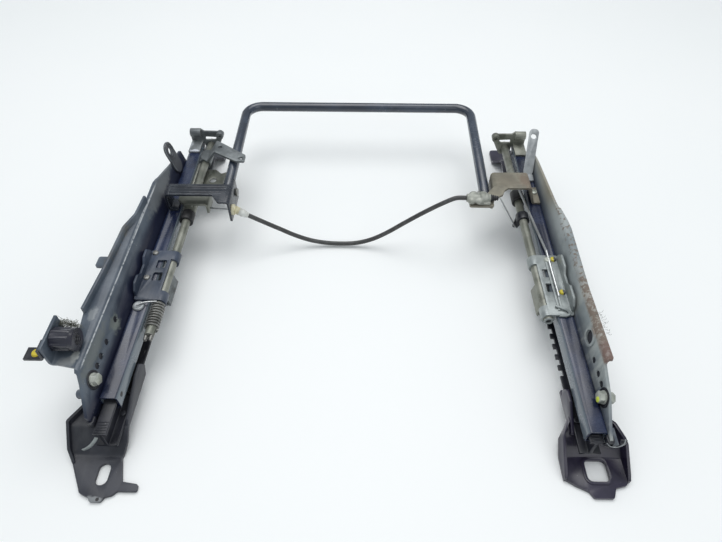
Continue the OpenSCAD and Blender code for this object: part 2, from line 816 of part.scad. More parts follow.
// front arms that carry the rods' front ends, clear of the space inside the channels
module front_arm() {
    side_u = upper_w / 2 + run;
    eye_u = rod_u + 14;
    eye_z = channel_top + 11;
    boss_z = channel_top + 14;
    face = [
        [-7.5, ceiling + run], [side_u, ceiling + run], [side_u, rod_z - 9], [rod_u + 6, rod_z - 9],
        [rod_u + 11, rod_z], [eye_u + 3, eye_z - 3], [eye_u + 2, eye_z + 4], [10, eye_z + 4.5],
        [7, boss_z + 4], [-5, boss_z + 4], [-7.5, boss_z - 3],
    ];
    window = [[10, rod_z + 7.5], [rod_u + 6, rod_z + 7.5], [eye_u - 4, eye_z - 4], [11, eye_z - 3]];
    difference() {
        union() {
            along_y(arm_y, arm_y + arm_t) polygon(rounded(face, 1));
            along_z(channel_top, channel_top + arm_t)
                polygon(box_outline(-7, 7, upper_front - 16, arm_y + arm_t));
            bar_u(-6.5, 6.5, arm_y, boss_z, 5.2);
            bar_y(arm_y - 4, arm_y + arm_t + 1, eye_u, eye_z, 4.6);
        }
        bar_y(arm_y - 1, arm_y + arm_t + 1, rod_u, rod_z, rod_r + rod_clear);
        bar_y(arm_y - 5, arm_y + arm_t + 2, eye_u, eye_z, 2);
        along_y(arm_y - 1, arm_y + arm_t + 1) polygon(rounded(window, 1));
    }
}

module left_front_arm() {
    color("#70756a") on_left() front_arm();
}

module right_front_arm() {
    color("#70756a") on_right() front_arm();
}

// plate beside the left channel
module left_front_plate() {
    mid = upper_w / 2 + sheet / 2;
    z = lip_top + 0.4;
    path = [[mid, channel_top - 4], [mid, z], [46, z]];
    plan = [[0, 106], [40, 106], [45, 116], [41, 122], [44, 143], [36, 138], [28, 146], [0, 146]];
    color("#8f9685") on_left() difference() {
        intersection() {
            along_y(104, 148) polygon(folded(path, sheet, 2.6));
            along_z(0, 100) polygon(rounded(plan, 2));
        }
        translate([28, 125, z - sheet]) cylinder(d = 8, h = 2 * sheet);
    }
}

// cable bracket on the left channel and cable arm on the right channel
flange_drop = 13;
bracket_foot_z = channel_top + sheet / 2;

module pivot_hole(u) {
    bar_u(u - 6, u + 6, pivot_y, pivot_z, pin_d / 2 + pin_clear);
}

module left_cable_bracket() {
    end_u = left_flange_u + sheet / 2;
    path = [[5.5, bracket_foot_z], [-4, bracket_foot_z], [-4, left_plate_z], [end_u, left_plate_z],
        [end_u, pivot_z - flange_drop]];
    plan = [[-20, 54], [end_u - 19, 54], [end_u - 11, 42], [100, 42], [100, pivot_y + 8],
        [end_u - 1.5, pivot_y + 8], [end_u - 1.5, 72], [-20, 72]];
    color("#2b2f37") on_left() difference() {
        union() {
            intersection() {
                along_y(40, pivot_y + 10) polygon(folded(path, sheet, 3));
                along_z(0, 2 * left_wall_top) polygon(rounded(plan, 3));
            }
            for (y = [58, 67]) bar_u(0, left_flange_u - 4, y, left_plate_z + sheet / 2 - 1, 2.2);
        }
        pivot_hole(end_u);
    }
}

module right_cable_arm() {
    end_u = right_flange_u + sheet / 2;
    path = [[-6, bracket_foot_z], [2.5, bracket_foot_z], [9, right_plate_z], [end_u, right_plate_z],
        [end_u, pivot_z - flange_drop]];
    plan = [[-20, 72], [34, 72], [38, pivot_y - 8], [100, pivot_y - 8], [100, 99], [-20, 99]];
    color("#7c8074") on_right() difference() {
        union() {
            intersection() {
                along_y(40, 106) polygon(folded(path, sheet, 3));
                along_z(0, 2 * left_wall_top) polygon(rounded(plan, 3));
            }
            along_z(right_plate_z - sheet / 2, right_plate_z + sheet / 2)
                polygon(rounded([[36, 74], [42, 60], [54, 53], [54, 41], [80, 41], [80, 56], [62, 58],
                    [right_flange_u + sheet, 74]], 2));
        }
        pivot_hole(end_u);
    }
}

// cable clamp and boot on the right arm
module right_cable_clamp() {
    seat = right_plate_z + sheet / 2;
    color("#c9cac6") on_right() {
        bar_u(clamp_u[0], clamp_u[1], cable_y, clamp_z, clamp_r);
        bar_u(clamp_u[0] + 7, clamp_u[0] + 11, cable_y, clamp_z + 0.8, clamp_r + 0.8);
        along_z(seat, seat + 3) polygon(box_outline(clamp_u[0], clamp_u[0] + 12, cable_y - 7, cable_y + 7));
    }
}

boot_len = 9;

module right_cable_boot() {
    color("#1b1c1e") on_right() translate([clamp_u[0], cable_y, clamp_z]) rotate([0, -90, 0])
        cylinder(r1 = 4, r2 = 1.8, h = boot_len);
}

// cable
module cable_sheath() {
    color("#17181a") on_middle() swept(smoothed(cable_route, 3), sheath_d / 2, 10, [0, 1, 0]);
}

module left_cable_ferrule() {
    face = -rail_gap / 2 + left_flange_u + sheet;
    color("#d6cfae") on_middle() {
        bar_u(face, face + 3, cable_y, ferrule_z, 6);
        translate(ferrule_from) rotate([0, 90 + ferrule_dip, 0])
            cylinder(d1 = 9, d2 = sheath_d + 2, h = ferrule_len);
        bar_u(face + 2, ferrule_from[0] + 1, cable_y, ferrule_z, 3.6);
    }
}

lever_mid_z = rod_z + 12;
lever_tip_u = rod_u + 22;

module left_cable_wire() {
    color("#9b9d9c") on_left() bar_between(
        [left_flange_u - 2 * run, cable_y, ferrule_z],
        [lever_tip_u + sheet / 2 + 1.6, lever_y[0] + 1, lever_mid_z - 5], wire_d / 2);
}

right_lever_y = 56;

module right_cable_wire() {
    color("#9b9d9c") on_right() bar_between(
        [clamp_u[0] - boot_len - wire_d / 2 - run, cable_y, clamp_z],
        [rod_u + 5, right_lever_y - 3, rod_z - 14], wire_d / 2);
}

// return wire on the right latch
module right_return_wire() {
    r = 1.3;
    top = latch_top + r;
    bend_at = [3, -5, top];
    color("#5a5d5a") on_right() {
        bar_between(bend_at, [rod_u, 92, top + 2.5], r);
        translate(bend_at) sphere(r = r + 0.15);
        bar_between([3, -66, top], bend_at, r);
    }
}

// lift bar: round tube bent to a U
left_leg_x = -rail_gap / 2 + left_leg_u;
right_leg_x = rail_gap / 2 - right_leg_u;
leg_tail = 6;

module lift_bar_shape() {
    r = bar_d / 2;
    bend_y = bar_reach - bar_bend;
    for (x = [left_leg_x, right_leg_x]) bar_y(-leg_tail, bend_y, x, 0, r);
    bar_u(left_leg_x + bar_bend, right_leg_x - bar_bend, bar_reach, 0, r);
    translate([left_leg_x + bar_bend, bend_y, 0]) rotate([0, 0, 90])
        rotate_extrude(angle = 90) translate([bar_bend, 0]) circle(r = r);
    translate([right_leg_x - bar_bend, bend_y, 0])
        rotate_extrude(angle = 90) translate([bar_bend, 0]) circle(r = r);
}

module lift_bar() {
    color("#2a2c30") on_middle() difference() {
        translate([0, pivot_y, pivot_z]) rotate([bar_slope, 0, 0]) lift_bar_shape();
        for (x = [left_leg_x, right_leg_x])
            bar_u(x - bar_d, x + bar_d, pivot_y, pivot_z, pin_d / 2 + fit);
    }
}

// pins with a head on the leg's free side and a riveted end behind the flange
module pivot_pin(from, to, head, tail) {
    bar_u(from, to, pivot_y, pivot_z, pin_d / 2);
    bar_u(from - 2, from, pivot_y, pivot_z, pin_d / 2 + head);
    bar_u(to, to + 2, pivot_y, pivot_z, pin_d / 2 + tail);
}

module left_pivot_pin() {
    color("#8c8f8c") on_left() pivot_pin(left_leg_u - bar_d / 2, left_flange_u + sheet + run, 2, 1.6);
}

module right_pivot_pin() {
    color("#8c8f8c") on_right() pivot_pin(right_flange_u - run, right_leg_u + bar_d / 2, 1.6, 2);
}

// torque rods
spring_len = 28;
left_rod_rear = left_latch_rear - spring_len - 10;
right_rod_rear = right_latch_rear - 2;

module left_torque_rod() {
    color("#8d9284") on_left() difference() {
        bar_y(left_rod_rear, rod_front, rod_u, rod_z, rod_r);
        translate([rod_u - rod_r - 1, left_rod_rear - 1, rod_z - 1.1]) cube([rod_d + 2, 9, 2.2]);
    }
}

module right_torque_rod() {
    color("#8d9284") on_right() bar_y(right_rod_rear, rod_front, rod_u, rod_z, rod_r);
}

// lock plates: claws welded under the rod, drawn locked and swung to the stored pose
lock_t = 2.2;
lock_out = 15.5;
claw_u = base_w / 2 + 2.8;
finger_z = saddle_top + base_t / 2;
finger_tip = base_w / 2 - notch_depth + 0.5;

module lock_plate(lock_y) {
    path = [[rod_u, rod_z], [claw_u, finger_z + 12], [claw_u, finger_z], [finger_tip, finger_z]];
    between = notch_pitch - tooth_w;
    difference() {
        translate([rod_u, 0, rod_z]) rotate([0, -lock_swing, 0]) translate([-rod_u, lock_y, -rod_z])
            difference() {
                along_y(-lock_out, lock_out) polygon(folded(path, lock_t, 2));
                for (k = [-2:1]) translate([0, k * notch_pitch + tooth_w / 2, 0])
                    cube([base_w / 2 + 1.2, between, finger_z + 3]);
            }
        bar_y(lock_y - 40, lock_y + 40, rod_u, rod_z, rod_r + eps);
    }
}

module left_lock_plate() {
    color("#7f8478") on_left() lock_plate(left_lock_y);
}

module right_lock_plate() {
    color("#7f8478") on_right() lock_plate(right_lock_y);
}

// torsion spring behind the left latch
spring_turns = 9;
spring_steps = 14;

module left_torsion_spring() {
    r = rod_r + 0.4 + spring_wire / 2;
    last = spring_turns * spring_steps;
    start = left_latch_rear - run - spring_wire;
    coil = [for (i = [0:last]) let (a = 360 * i / spring_steps)
        [rod_u + r * cos(a), start - spring_len * i / last, rod_z + r * sin(a)]];
    color("#6b6f6b") on_left() swept(coil, spring_wire / 2, 6, [0, 1, 0]);
}

// levers on the rods
hub_r = rod_r + 2.4;

module hub(rear, front) {
    bar_y(rear, front, rod_u, rod_z, hub_r);
}

module hub_bore(rear, front) {
    bar_y(rear - 1, front + 1, rod_u, rod_z, rod_r + fit);
}

lever_y = [56, 75];

module left_release_lever() {
    path = [[5, lever_mid_z], [lever_tip_u, lever_mid_z], [lever_tip_u, lever_mid_z - 12]];
    plan = [[5, lever_y[0] + 7], [13, lever_y[0]], [60, lever_y[0]], [60, lever_y[1]], [9, lever_y[1]],
        [5, lever_y[1] - 4]];
    color("#8f9685") on_left() difference() {
        union() {
            intersection() {
                along_y(lever_y[0] - 1, lever_y[1] + 1) polygon(folded(path, sheet, 3));
                along_z(0, 200) polygon(rounded(plan, 2));
            }
            hub(lever_y[0], lever_y[1]);
            along_y(lever_y[0] + 2, lever_y[1] - 2)
                polygon(box_outline(rod_u - 4, rod_u + 4, rod_z, lever_mid_z));
        }
        hub_bore(lever_y[0], lever_y[1]);
    }
}

module right_release_lever() {
    face = [[rod_u - 6, rod_z], [rod_u + 6, rod_z], [rod_u + 8, rod_z - 16], [rod_u + 2, rod_z - 18]];
    color("#8f9685") on_right() difference() {
        union() {
            along_y(right_lever_y, right_lever_y + sheet) polygon(rounded(face, 2));
            hub(right_lever_y - 8, right_lever_y + sheet);
        }
        hub_bore(right_lever_y - 9, right_lever_y + sheet);
    }
}

// triangular plate from the left rod over the lift bar's leg
handle_lever_y = [146, 166];
handle_eye_y = 122;
handle_gap = 3;

module handle_lever() {
    z = pivot_z + (handle_eye_y - pivot_y) * tan(bar_slope) + bar_d / 2 + handle_gap + sheet / 2;
    root_z = rod_z + hub_r - sheet / 2;
    path = [[rod_u - 4, root_z], [rod_u + 5, root_z], [rod_u + 19, z], [left_leg_u + 20, z]];
    eye_u = left_leg_u + 10;
    plan = [[rod_u - 4, 148], [rod_u - 4, 164], [rod_u + 8, 164], [eye_u + 5, handle_eye_y + 6],
        [eye_u + 5, handle_eye_y - 6], [eye_u - 5, handle_eye_y - 6]];
    color("#9aa08c") on_left() difference() {
        union() {
            intersection() {
                along_y(handle_eye_y - 12, handle_lever_y[1]) polygon(folded(path, sheet, 4));
                along_z(0, 2 * left_wall_top) polygon(rounded(plan, 2));
            }
            hub(handle_lever_y[0], handle_lever_y[1]);
        }
        hub_bore(handle_lever_y[0], handle_lever_y[1]);
        translate([eye_u, handle_eye_y, z - sheet]) cylinder(d = 5, h = 2 * sheet);
        translate([rod_u + 24, handle_lever_y[0] - 3, z - sheet]) cylinder(d = 5, h = 2 * sheet);
    }
}

// bushes on the rods
left_bush_y = [41, 54.5];
right_bush_y = [80, 96];
bush_r = rod_r + 2.8;

module rod_bush(y) {
    difference() {
        bar_y(y[0], y[1], rod_u, rod_z, bush_r);
        hub_bore(y[0], y[1]);
    }
}

module left_rod_bush() {
    color("#1f2124") on_left() rod_bush(left_bush_y);
}

module right_rod_bush() {
    color("#1f2124") on_right() rod_bush(right_bush_y);
}

left_lower_rail();
right_lower_rail();
left_rear_foot();
right_rear_foot();
left_front_foot();
right_front_foot();
left_foot_rivets();
right_foot_rivets();
left_balls();
right_balls();
left_rollers();
right_rollers();
left_upper_rail();
right_upper_rail();
left_side_bracket();
right_side_bracket();
left_anchor_nut();
left_hook_tab();
left_hook_rivet();
left_latch_bracket();
right_latch_bracket();
left_latch_rivets();
right_latch_rivets();
left_wall_bolt();
right_wall_bolt();
left_end_clip();
right_end_clip();
left_seat_ear();
right_seat_ear();
left_front_arm();
right_front_arm();
left_front_plate();
left_cable_bracket();
right_cable_arm();
right_cable_clamp();
right_cable_boot();
cable_sheath();
left_cable_ferrule();
left_cable_wire();
right_cable_wire();
right_return_wire();
lift_bar();
left_pivot_pin();
right_pivot_pin();
left_torque_rod();
right_torque_rod();
left_lock_plate();
right_lock_plate();
left_torsion_spring();
left_release_lever();
right_release_lever();
handle_lever();
left_rod_bush();
right_rod_bush();
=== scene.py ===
"""Looks of the seat slide rails: camera, release cable, finishes and small details of the metal."""
import json
import math

import bmesh
import bpy
from mathutils import Matrix, Vector
from mathutils.bvhtree import BVHTree

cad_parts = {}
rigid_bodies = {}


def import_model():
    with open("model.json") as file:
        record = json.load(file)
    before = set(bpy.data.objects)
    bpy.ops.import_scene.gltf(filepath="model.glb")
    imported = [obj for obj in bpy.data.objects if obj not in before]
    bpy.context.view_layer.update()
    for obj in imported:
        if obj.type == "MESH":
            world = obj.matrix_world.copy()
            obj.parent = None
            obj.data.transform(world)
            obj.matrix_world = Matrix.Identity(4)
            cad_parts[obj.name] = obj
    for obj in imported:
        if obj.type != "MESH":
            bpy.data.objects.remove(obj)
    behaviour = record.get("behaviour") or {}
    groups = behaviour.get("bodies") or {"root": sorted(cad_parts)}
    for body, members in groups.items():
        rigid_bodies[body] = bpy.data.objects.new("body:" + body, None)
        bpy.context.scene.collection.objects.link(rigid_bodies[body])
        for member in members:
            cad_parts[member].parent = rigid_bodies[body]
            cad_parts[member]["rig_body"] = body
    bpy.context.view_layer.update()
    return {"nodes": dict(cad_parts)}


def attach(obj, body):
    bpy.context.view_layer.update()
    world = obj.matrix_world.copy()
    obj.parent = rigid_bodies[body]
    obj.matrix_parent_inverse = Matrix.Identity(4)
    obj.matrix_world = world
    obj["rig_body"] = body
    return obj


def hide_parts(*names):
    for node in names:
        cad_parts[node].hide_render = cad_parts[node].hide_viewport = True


for leftover in list(bpy.data.objects):
    bpy.data.objects.remove(leftover)

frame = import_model()
scene = bpy.context.scene


def linked(name, data):
    """A new object in the scene."""
    made = bpy.data.objects.new(name, data)
    scene.collection.objects.link(made)
    return made


# Camera in metres and degrees, and the photo's middle and focal length in its pixels
CAMERA_PLACE = (0.0280, -0.4162, 0.4750)
CAMERA_TILT = 42.0
CAMERA_TURN = 1.0
SENSOR_WIDTH = 36.0
FOCAL_LENGTH = 28.17
PHOTO_MIDDLE = (361, 271)
PHOTO_FOCAL = 565
lens = bpy.data.cameras.new("photo_camera")
lens.sensor_width = SENSOR_WIDTH
lens.lens = FOCAL_LENGTH
camera = linked("photo_camera", lens)
camera.location = CAMERA_PLACE
camera.rotation_euler = (math.radians(CAMERA_TILT), 0.0, math.radians(CAMERA_TURN))
scene.camera = camera

# Rails in the frame, in millimetres, with u inboard from a rail's centre
RAIL_GAP = 408.0
CENTRE_X = -13.0
CENTRE_Y = -1.8292
ROD_U = 16.0
ROD_Z = 43.22


def place(side, u, y, z):
    """Point of the frame, in metres, from a rail's own coordinates in millimetres."""
    x = {"left": u - RAIL_GAP / 2, "right": RAIL_GAP / 2 - u, "middle": u}[side]
    return Vector((x - CENTRE_X, y - CENTRE_Y, z)) / 1000


def carrier_of(node):
    """Name of the body that a node belongs to."""
    return frame["nodes"][node]["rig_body"]


# Shader arithmetic
class Value:
    """A number that varies over a surface. Arithmetic on it adds Math nodes."""

    def __init__(self, finish, socket):
        self.finish = finish
        self.socket = socket

    def combine(self, operation, first, second, clamp=False):
        settings = {"operation": operation, "use_clamp": clamp}
        made = self.finish.add("ShaderNodeMath", settings, {0: first, 1: second})
        return Value(self.finish, made.outputs[0])

    def __add__(self, other):
        return self.combine("ADD", self, other)

    def __radd__(self, other):
        return self.combine("ADD", other, self)

    def __sub__(self, other):
        return self.combine("SUBTRACT", self, other)

    def __rsub__(self, other):
        return self.combine("SUBTRACT", other, self)

    def __mul__(self, other):
        return self.combine("MULTIPLY", self, other)

    def __rmul__(self, other):
        return self.combine("MULTIPLY", other, self)

    def clamped(self):
        return self.combine("ADD", self, 0.0, True)

    def step(self, low, high):
        """Smooth step from 0 at low to 1 at high; low may be the larger one."""
        made = self.finish.add(
            "ShaderNodeMapRange", {"interpolation_type": "SMOOTHSTEP"},
            {"Value": self, "From Min": low, "From Max": high})
        return Value(self.finish, made.outputs["Result"])


class Finish:
    """A material under construction."""

    def __init__(self, name):
        self.material = bpy.data.materials.new(name)
        self.material.use_nodes = True
        self.tree = self.material.node_tree
        self.shader = self.tree.nodes["Principled BSDF"]
        self.point = self.add("ShaderNodeTexCoord").outputs["Object"]
        normal = self.add("ShaderNodeNewGeometry").outputs["Normal"]
        facing = self.add("ShaderNodeSeparateXYZ", {}, {0: normal}).outputs
        self.aside = Value(self, facing["X"])
        self.up = Value(self, facing["Z"])
        axes = self.add("ShaderNodeSeparateXYZ", {}, {0: self.point}).outputs
        self.across = Value(self, axes["X"])
        self.along = Value(self, axes["Y"])
        self.height = Value(self, axes["Z"])

    def add(self, kind, settings=None, inputs=None):
        """A node with its settings and its sockets, each a number, a tuple, a Value or a linked socket."""
        node = self.tree.nodes.new(kind)
        for key, value in (settings or {}).items():
            setattr(node, key, value)
        for key, value in (inputs or {}).items():
            if isinstance(value, Value):
                value = value.socket
            if isinstance(value, bpy.types.NodeSocket):
                self.tree.links.new(value, node.inputs[key])
            else:
                node.inputs[key].default_value = value
        return node

    def noise(self, scale, detail=4.0, rough=0.55, stretch=(1, 1, 1)):
        spot = self.add("ShaderNodeMapping", {}, {"Vector": self.point, "Scale": stretch}).outputs[0]
        inputs = {"Vector": spot, "Scale": scale, "Detail": detail, "Roughness": rough}
        return Value(self, self.add("ShaderNodeTexNoise", {}, inputs).outputs["Fac"])

    def cells(self, scale):
        made = self.add("ShaderNodeTexVoronoi", {}, {"Vector": self.point, "Scale": scale})
        return Value(self, made.outputs["Distance"])

    def patch(self, centre, reach, ragged=0.7):
        """Mask of a ragged spot round a point of the frame, with its reach along X, Y and Z in metres."""
        shrink = tuple(1 / r for r in reach)
        offset = self.add(
            "ShaderNodeVectorMath", {"operation": "SUBTRACT"}, {0: self.point, 1: tuple(centre)}).outputs[0]
        scaled = self.add(
            "ShaderNodeVectorMath", {"operation": "MULTIPLY"}, {0: offset, 1: shrink}).outputs[0]
        away = self.add("ShaderNodeVectorMath", {"operation": "LENGTH"}, {0: scaled}).outputs["Value"]
        edge = Value(self, away) + (self.noise(190, 4, 0.65) - 0.5) * (ragged * 2)
        return edge.step(1.0, 0.5)

    def mix(self, amount, first, second):
        colours = [(*c, 1.0) if isinstance(c, tuple) else c for c in (first, second)]
        made = self.add("ShaderNodeMix", {"data_type": "RGBA"}, {0: amount, 6: colours[0], 7: colours[1]})
        return made.outputs[2]

    def colour(self, socket):
        self.tree.links.new(socket, self.shader.inputs["Base Color"])

    def vary(self, name, value):
        self.tree.links.new(value.socket, self.shader.inputs[name])

    def constant(self, **values):
        for name, value in values.items():
            self.shader.inputs[name.replace("_", " ")].default_value = value

    def bump(self, value, strength, distance):
        made = self.add("ShaderNodeBump", {}, {"Height": value, "Strength": strength, "Distance": distance})
        self.tree.links.new(made.outputs[0], self.shader.inputs["Normal"])


# Finishes, with shared tints
DUST = (0.30, 0.31, 0.30)
SCRATCH = (0.46, 0.47, 0.47)
# A face looks inboard where its normal times its place across, in metres, is below these; the paler tint on
# such faces is a painted highlight
INBOARD_HIGHLIGHT_FACES = (-0.09, -0.15)


def enamel(name, deep, face, dust, rough, scratched, patches=(), inboard=None, gloss=0.0):
    """Old stoved enamel: cloudy tone, orange peel, dust on upward faces, chips, scratches and stains.

    The faces that look inboard may have a paler tint, which is a painted highlight, and a gloss adds a
    clear coat.
    """
    f = Finish(name)
    cloud = f.noise(28, 5)
    peel = f.noise(420, 3)
    streak = f.noise(60, 4, 0.6, (1, 0.12, 1))
    settled = (f.up.step(0.1, 0.95) * streak.step(0.40, 0.75) * dust).clamped()
    tone = f.mix(settled, f.mix(cloud.step(0.38, 0.66), deep, face), DUST)
    if inboard:
        # Painted highlight: faces that look inboard take the paler tint, a sheen along the channel's side
        inboard_highlight = (f.aside * f.across).step(*INBOARD_HIGHLIGHT_FACES)
        tone = f.mix(inboard_highlight * (streak * 0.7 + 0.5).clamped(), tone, inboard)
    for centre, reach, tint, strength in patches:
        tone = f.mix(f.patch(centre, reach) * strength, tone, tint)
    chips = f.cells(330).step(0.16, 0.07) * f.noise(45, 3).step(0.58, 0.68)
    lines = f.noise(300, 2, 0.5, (1, 0.05, 0.5)).step(0.66, 0.74) * f.noise(34, 3).step(0.52, 0.66)
    marks = ((chips + lines) * scratched).clamped()
    f.colour(f.mix(marks, tone, SCRATCH))
    uneven = cloud * 0.22 + peel * 0.10 + settled * 0.35 + marks * 0.2
    f.vary("Roughness", (uneven + (rough - 0.16)).clamped())
    f.bump(peel * 0.5 - marks * 0.5, 0.05 if gloss else 0.16, 0.0004)
    f.constant(Specular_IOR_Level=0.45, Coat_Weight=gloss, Coat_Roughness=0.14)
    return f.material


# Where the left bracket's tones change: heights and places in metres, and the tilt and run of the painted
# highlight on its crest
NAVY_FADE = (0.058, 0.071)
LEFT_REAR = (-0.085, -0.125)
HIGHLIGHT_TILT_LOW, HIGHLIGHT_TILT_HIGH = (0.46, 0.58), (0.74, 0.62)
HIGHLIGHT_FRONT, HIGHLIGHT_REAR, HIGHLIGHT_SIDE = (0.075, 0.055), (-0.171, -0.162), (-0.222, -0.217)


def navy_wall(name, patches):
    """Coat of the left bracket: navy low on the wall, grey above it, with a painted highlight on its crest.
    """
    f = Finish(name)
    cloud = f.noise(24, 5, 0.6)
    fine = f.noise(260, 4, 0.65)
    streak = f.noise(50, 4, 0.6, (1, 0.15, 1))
    grey = f.mix(cloud.step(0.36, 0.66), (0.052, 0.068, 0.092), (0.105, 0.128, 0.158))
    rear = f.along.step(*LEFT_REAR)
    above = (f.height + rear * 0.010 + (streak - 0.5) * 0.008).step(*NAVY_FADE)
    tone = f.mix(above, (0.013, 0.016, 0.036), grey)
    for centre, reach, tint, strength in patches:
        tone = f.mix(f.patch(centre, reach) * strength, tone, tint)
    # Painted highlight: a pale line where the wall bends into the flange and catches the light
    crest_highlight = f.up.step(*HIGHLIGHT_TILT_LOW) * f.up.step(*HIGHLIGHT_TILT_HIGH)
    run = f.along.step(*HIGHLIGHT_FRONT) * f.along.step(*HIGHLIGHT_REAR) * f.across.step(*HIGHLIGHT_SIDE)
    tone = f.mix(crest_highlight * run * (fine.step(0.30, 0.55) * 0.85), tone, (0.58, 0.60, 0.61))
    chips = f.cells(330).step(0.16, 0.07) * f.noise(45, 3).step(0.56, 0.66)
    f.colour(f.mix((chips * 0.5).clamped(), tone, SCRATCH))
    f.vary("Roughness", (cloud * 0.2 + fine * 0.14 + 0.16).clamped())
    f.bump(fine * 0.5 - chips * 0.5, 0.16, 0.0004)
    return f.material


def zinc(name, dark, light, stain, rough=0.42, metal=0.45, patches=()):
    """Passivated zinc on steel: dull and blotched, with darker stains and rubbed spots."""
    f = Finish(name)
    blotch = f.noise(46, 6, 0.62)
    grain = f.noise(520, 2, 0.5, (1, 0.2, 1))
    stains = f.noise(24, 5, 0.7).step(0.56, 0.72)
    tone = f.mix(stains * 0.75, f.mix(blotch.step(0.36, 0.64), dark, light), stain)
    # Patches: stains on tan_zinc, painted highlights on dark_zinc
    for centre, reach, tint, strength in patches:
        tone = f.mix(f.patch(centre, reach) * strength, tone, tint)
    rubbed = f.cells(210).step(0.2, 0.1) * f.noise(38, 3).step(0.55, 0.68)
    f.colour(f.mix((rubbed * 0.5).clamped(), tone, tuple(min(1.0, c * 1.8) for c in light)))
    f.vary("Roughness", (blotch * 0.30 + grain * 0.12 + stains * 0.18 + (rough - 0.2)).clamped())
    f.constant(Metallic=metal)
    f.bump(grain * 0.5 + blotch * 0.5, 0.12, 0.0004)
    return f.material


def rubbed_edge(name, tint, gain):
    """Edge where the coat is rubbed thin."""
    f = Finish(name)
    rub = f.noise(130, 5, 0.65)
    bare = tuple(min(1.0, c * gain + 0.04) for c in tint)
    f.colour(f.mix(rub.step(0.42, 0.60), tint, bare))
    f.vary("Roughness", (rub * 0.3 + 0.23).clamped())
    f.constant(Metallic=0.3)
    return f.material


# Where the right bracket's tones change, in metres, with painted shade low on its wall
SHADED_WALL_FOOT = (0.062, 0.046)
RIGHT_REAR = (-0.020, -0.105)
RIGHT_FRONT = (0.022, 0.075)
FRONT_RISE = (0.052, 0.068)
FLANGE_FOOT = (0.0668, 0.0712)
FLANGE_END = (-0.126, -0.138)


def rusty_wall(name):
    """Grey coat of the right bracket: pale wall with painted shade at its foot, brown flange, tan front."""
    f = Finish(name)
    cloud = f.noise(22, 5, 0.6)
    fine = f.noise(230, 5, 0.7)
    streak = f.noise(55, 4, 0.6, (1, 1, 0.15))
    # Painted shade: the wall turns dark navy towards its foot by the channel, where shade falls
    low = f.height.step(*SHADED_WALL_FOOT)
    pale = f.mix(cloud.step(0.35, 0.65), (0.215, 0.245, 0.255), (0.345, 0.375, 0.375))
    tone = f.mix(low * 0.85, pale, (0.055, 0.068, 0.100))
    rear = f.along.step(*RIGHT_REAR)
    tone = f.mix(rear * streak.step(0.40, 0.66) * 0.65, tone, (0.42, 0.44, 0.41))
    flange = f.height.step(*FLANGE_FOOT)
    front = f.along.step(*RIGHT_FRONT)
    tan = (flange + f.height.step(*FRONT_RISE) * front).clamped()
    tone = f.mix(tan * front * 0.75, tone, (0.27, 0.235, 0.165))
    tone = f.mix(flange * rear * 0.6, tone, (0.30, 0.255, 0.205))
    brown = (flange * (fine * 2.4 + rear * 0.22 - 1.27).step(-0.04, 0.18)).clamped()
    tone = f.mix(brown * 0.8, tone, (0.150, 0.105, 0.078))
    end = flange * (f.along + (fine - 0.5) * 0.014).step(*FLANGE_END)
    tone = f.mix(end * 0.6, tone, (0.165, 0.096, 0.084))
    chips = f.cells(260).step(0.17, 0.08) * f.noise(40, 3).step(0.56, 0.68)
    f.colour(f.mix((chips * 0.55).clamped(), tone, (0.09, 0.075, 0.06)))
    f.vary("Roughness", (cloud * 0.2 + fine * 0.12 + brown * 0.3 + 0.26).clamped())
    f.bump(fine * brown + chips * -0.4 + fine * 0.15, 0.28, 0.0006)
    return f.material


def paint_mark(name, tint, shade):
    """Inspection paint: thick, slightly uneven, with dirt in it."""
    f = Finish(name)
    daub = f.noise(320, 3)
    f.colour(f.mix(daub.step(0.42, 0.7), tint, shade))
    f.vary("Roughness", (daub * 0.3 + 0.35).clamped())
    f.bump(daub, 0.3, 0.0004)
    return f.material


def moulded(name, tint, dirt, rough=0.5):
    """Moulded plastic or rubber with a fine grain and grime in patches."""
    f = Finish(name)
    grime = f.noise(90, 5, 0.65)
    grain = f.noise(900, 2)
    f.colour(f.mix(grime.step(0.45, 0.72), tint, dirt))
    f.vary("Roughness", (grime * 0.2 + grain * 0.1 + (rough - 0.15)).clamped())
    f.bump(grain * 0.6 + grime * 0.4, 0.15, 0.0003)
    return f.material


# Edge of the paint on the right latch's rivets, in metres
PAINTED_SIDE = (0.2194, 0.2188)
PAINTED_TOP = (0.0492, 0.0496)


def daubed_rivets(name):
    """Dark rivet heads whose inboard half carries yellow paint."""
    f = Finish(name)
    mottle = f.noise(160, 4)
    ragged = f.across + (f.noise(420, 3) - 0.5) * 0.0016
    painted = ragged.step(*PAINTED_SIDE) * f.height.step(*PAINTED_TOP)
    steel = f.mix(mottle.step(0.4, 0.65), (0.05, 0.052, 0.06), (0.13, 0.13, 0.13))
    f.colour(f.mix(painted, steel, (0.62, 0.52, 0.04)))
    f.vary("Roughness", (mottle * 0.3 + 0.25).clamped())
    f.bump(mottle, 0.12, 0.0003)
    return f.material


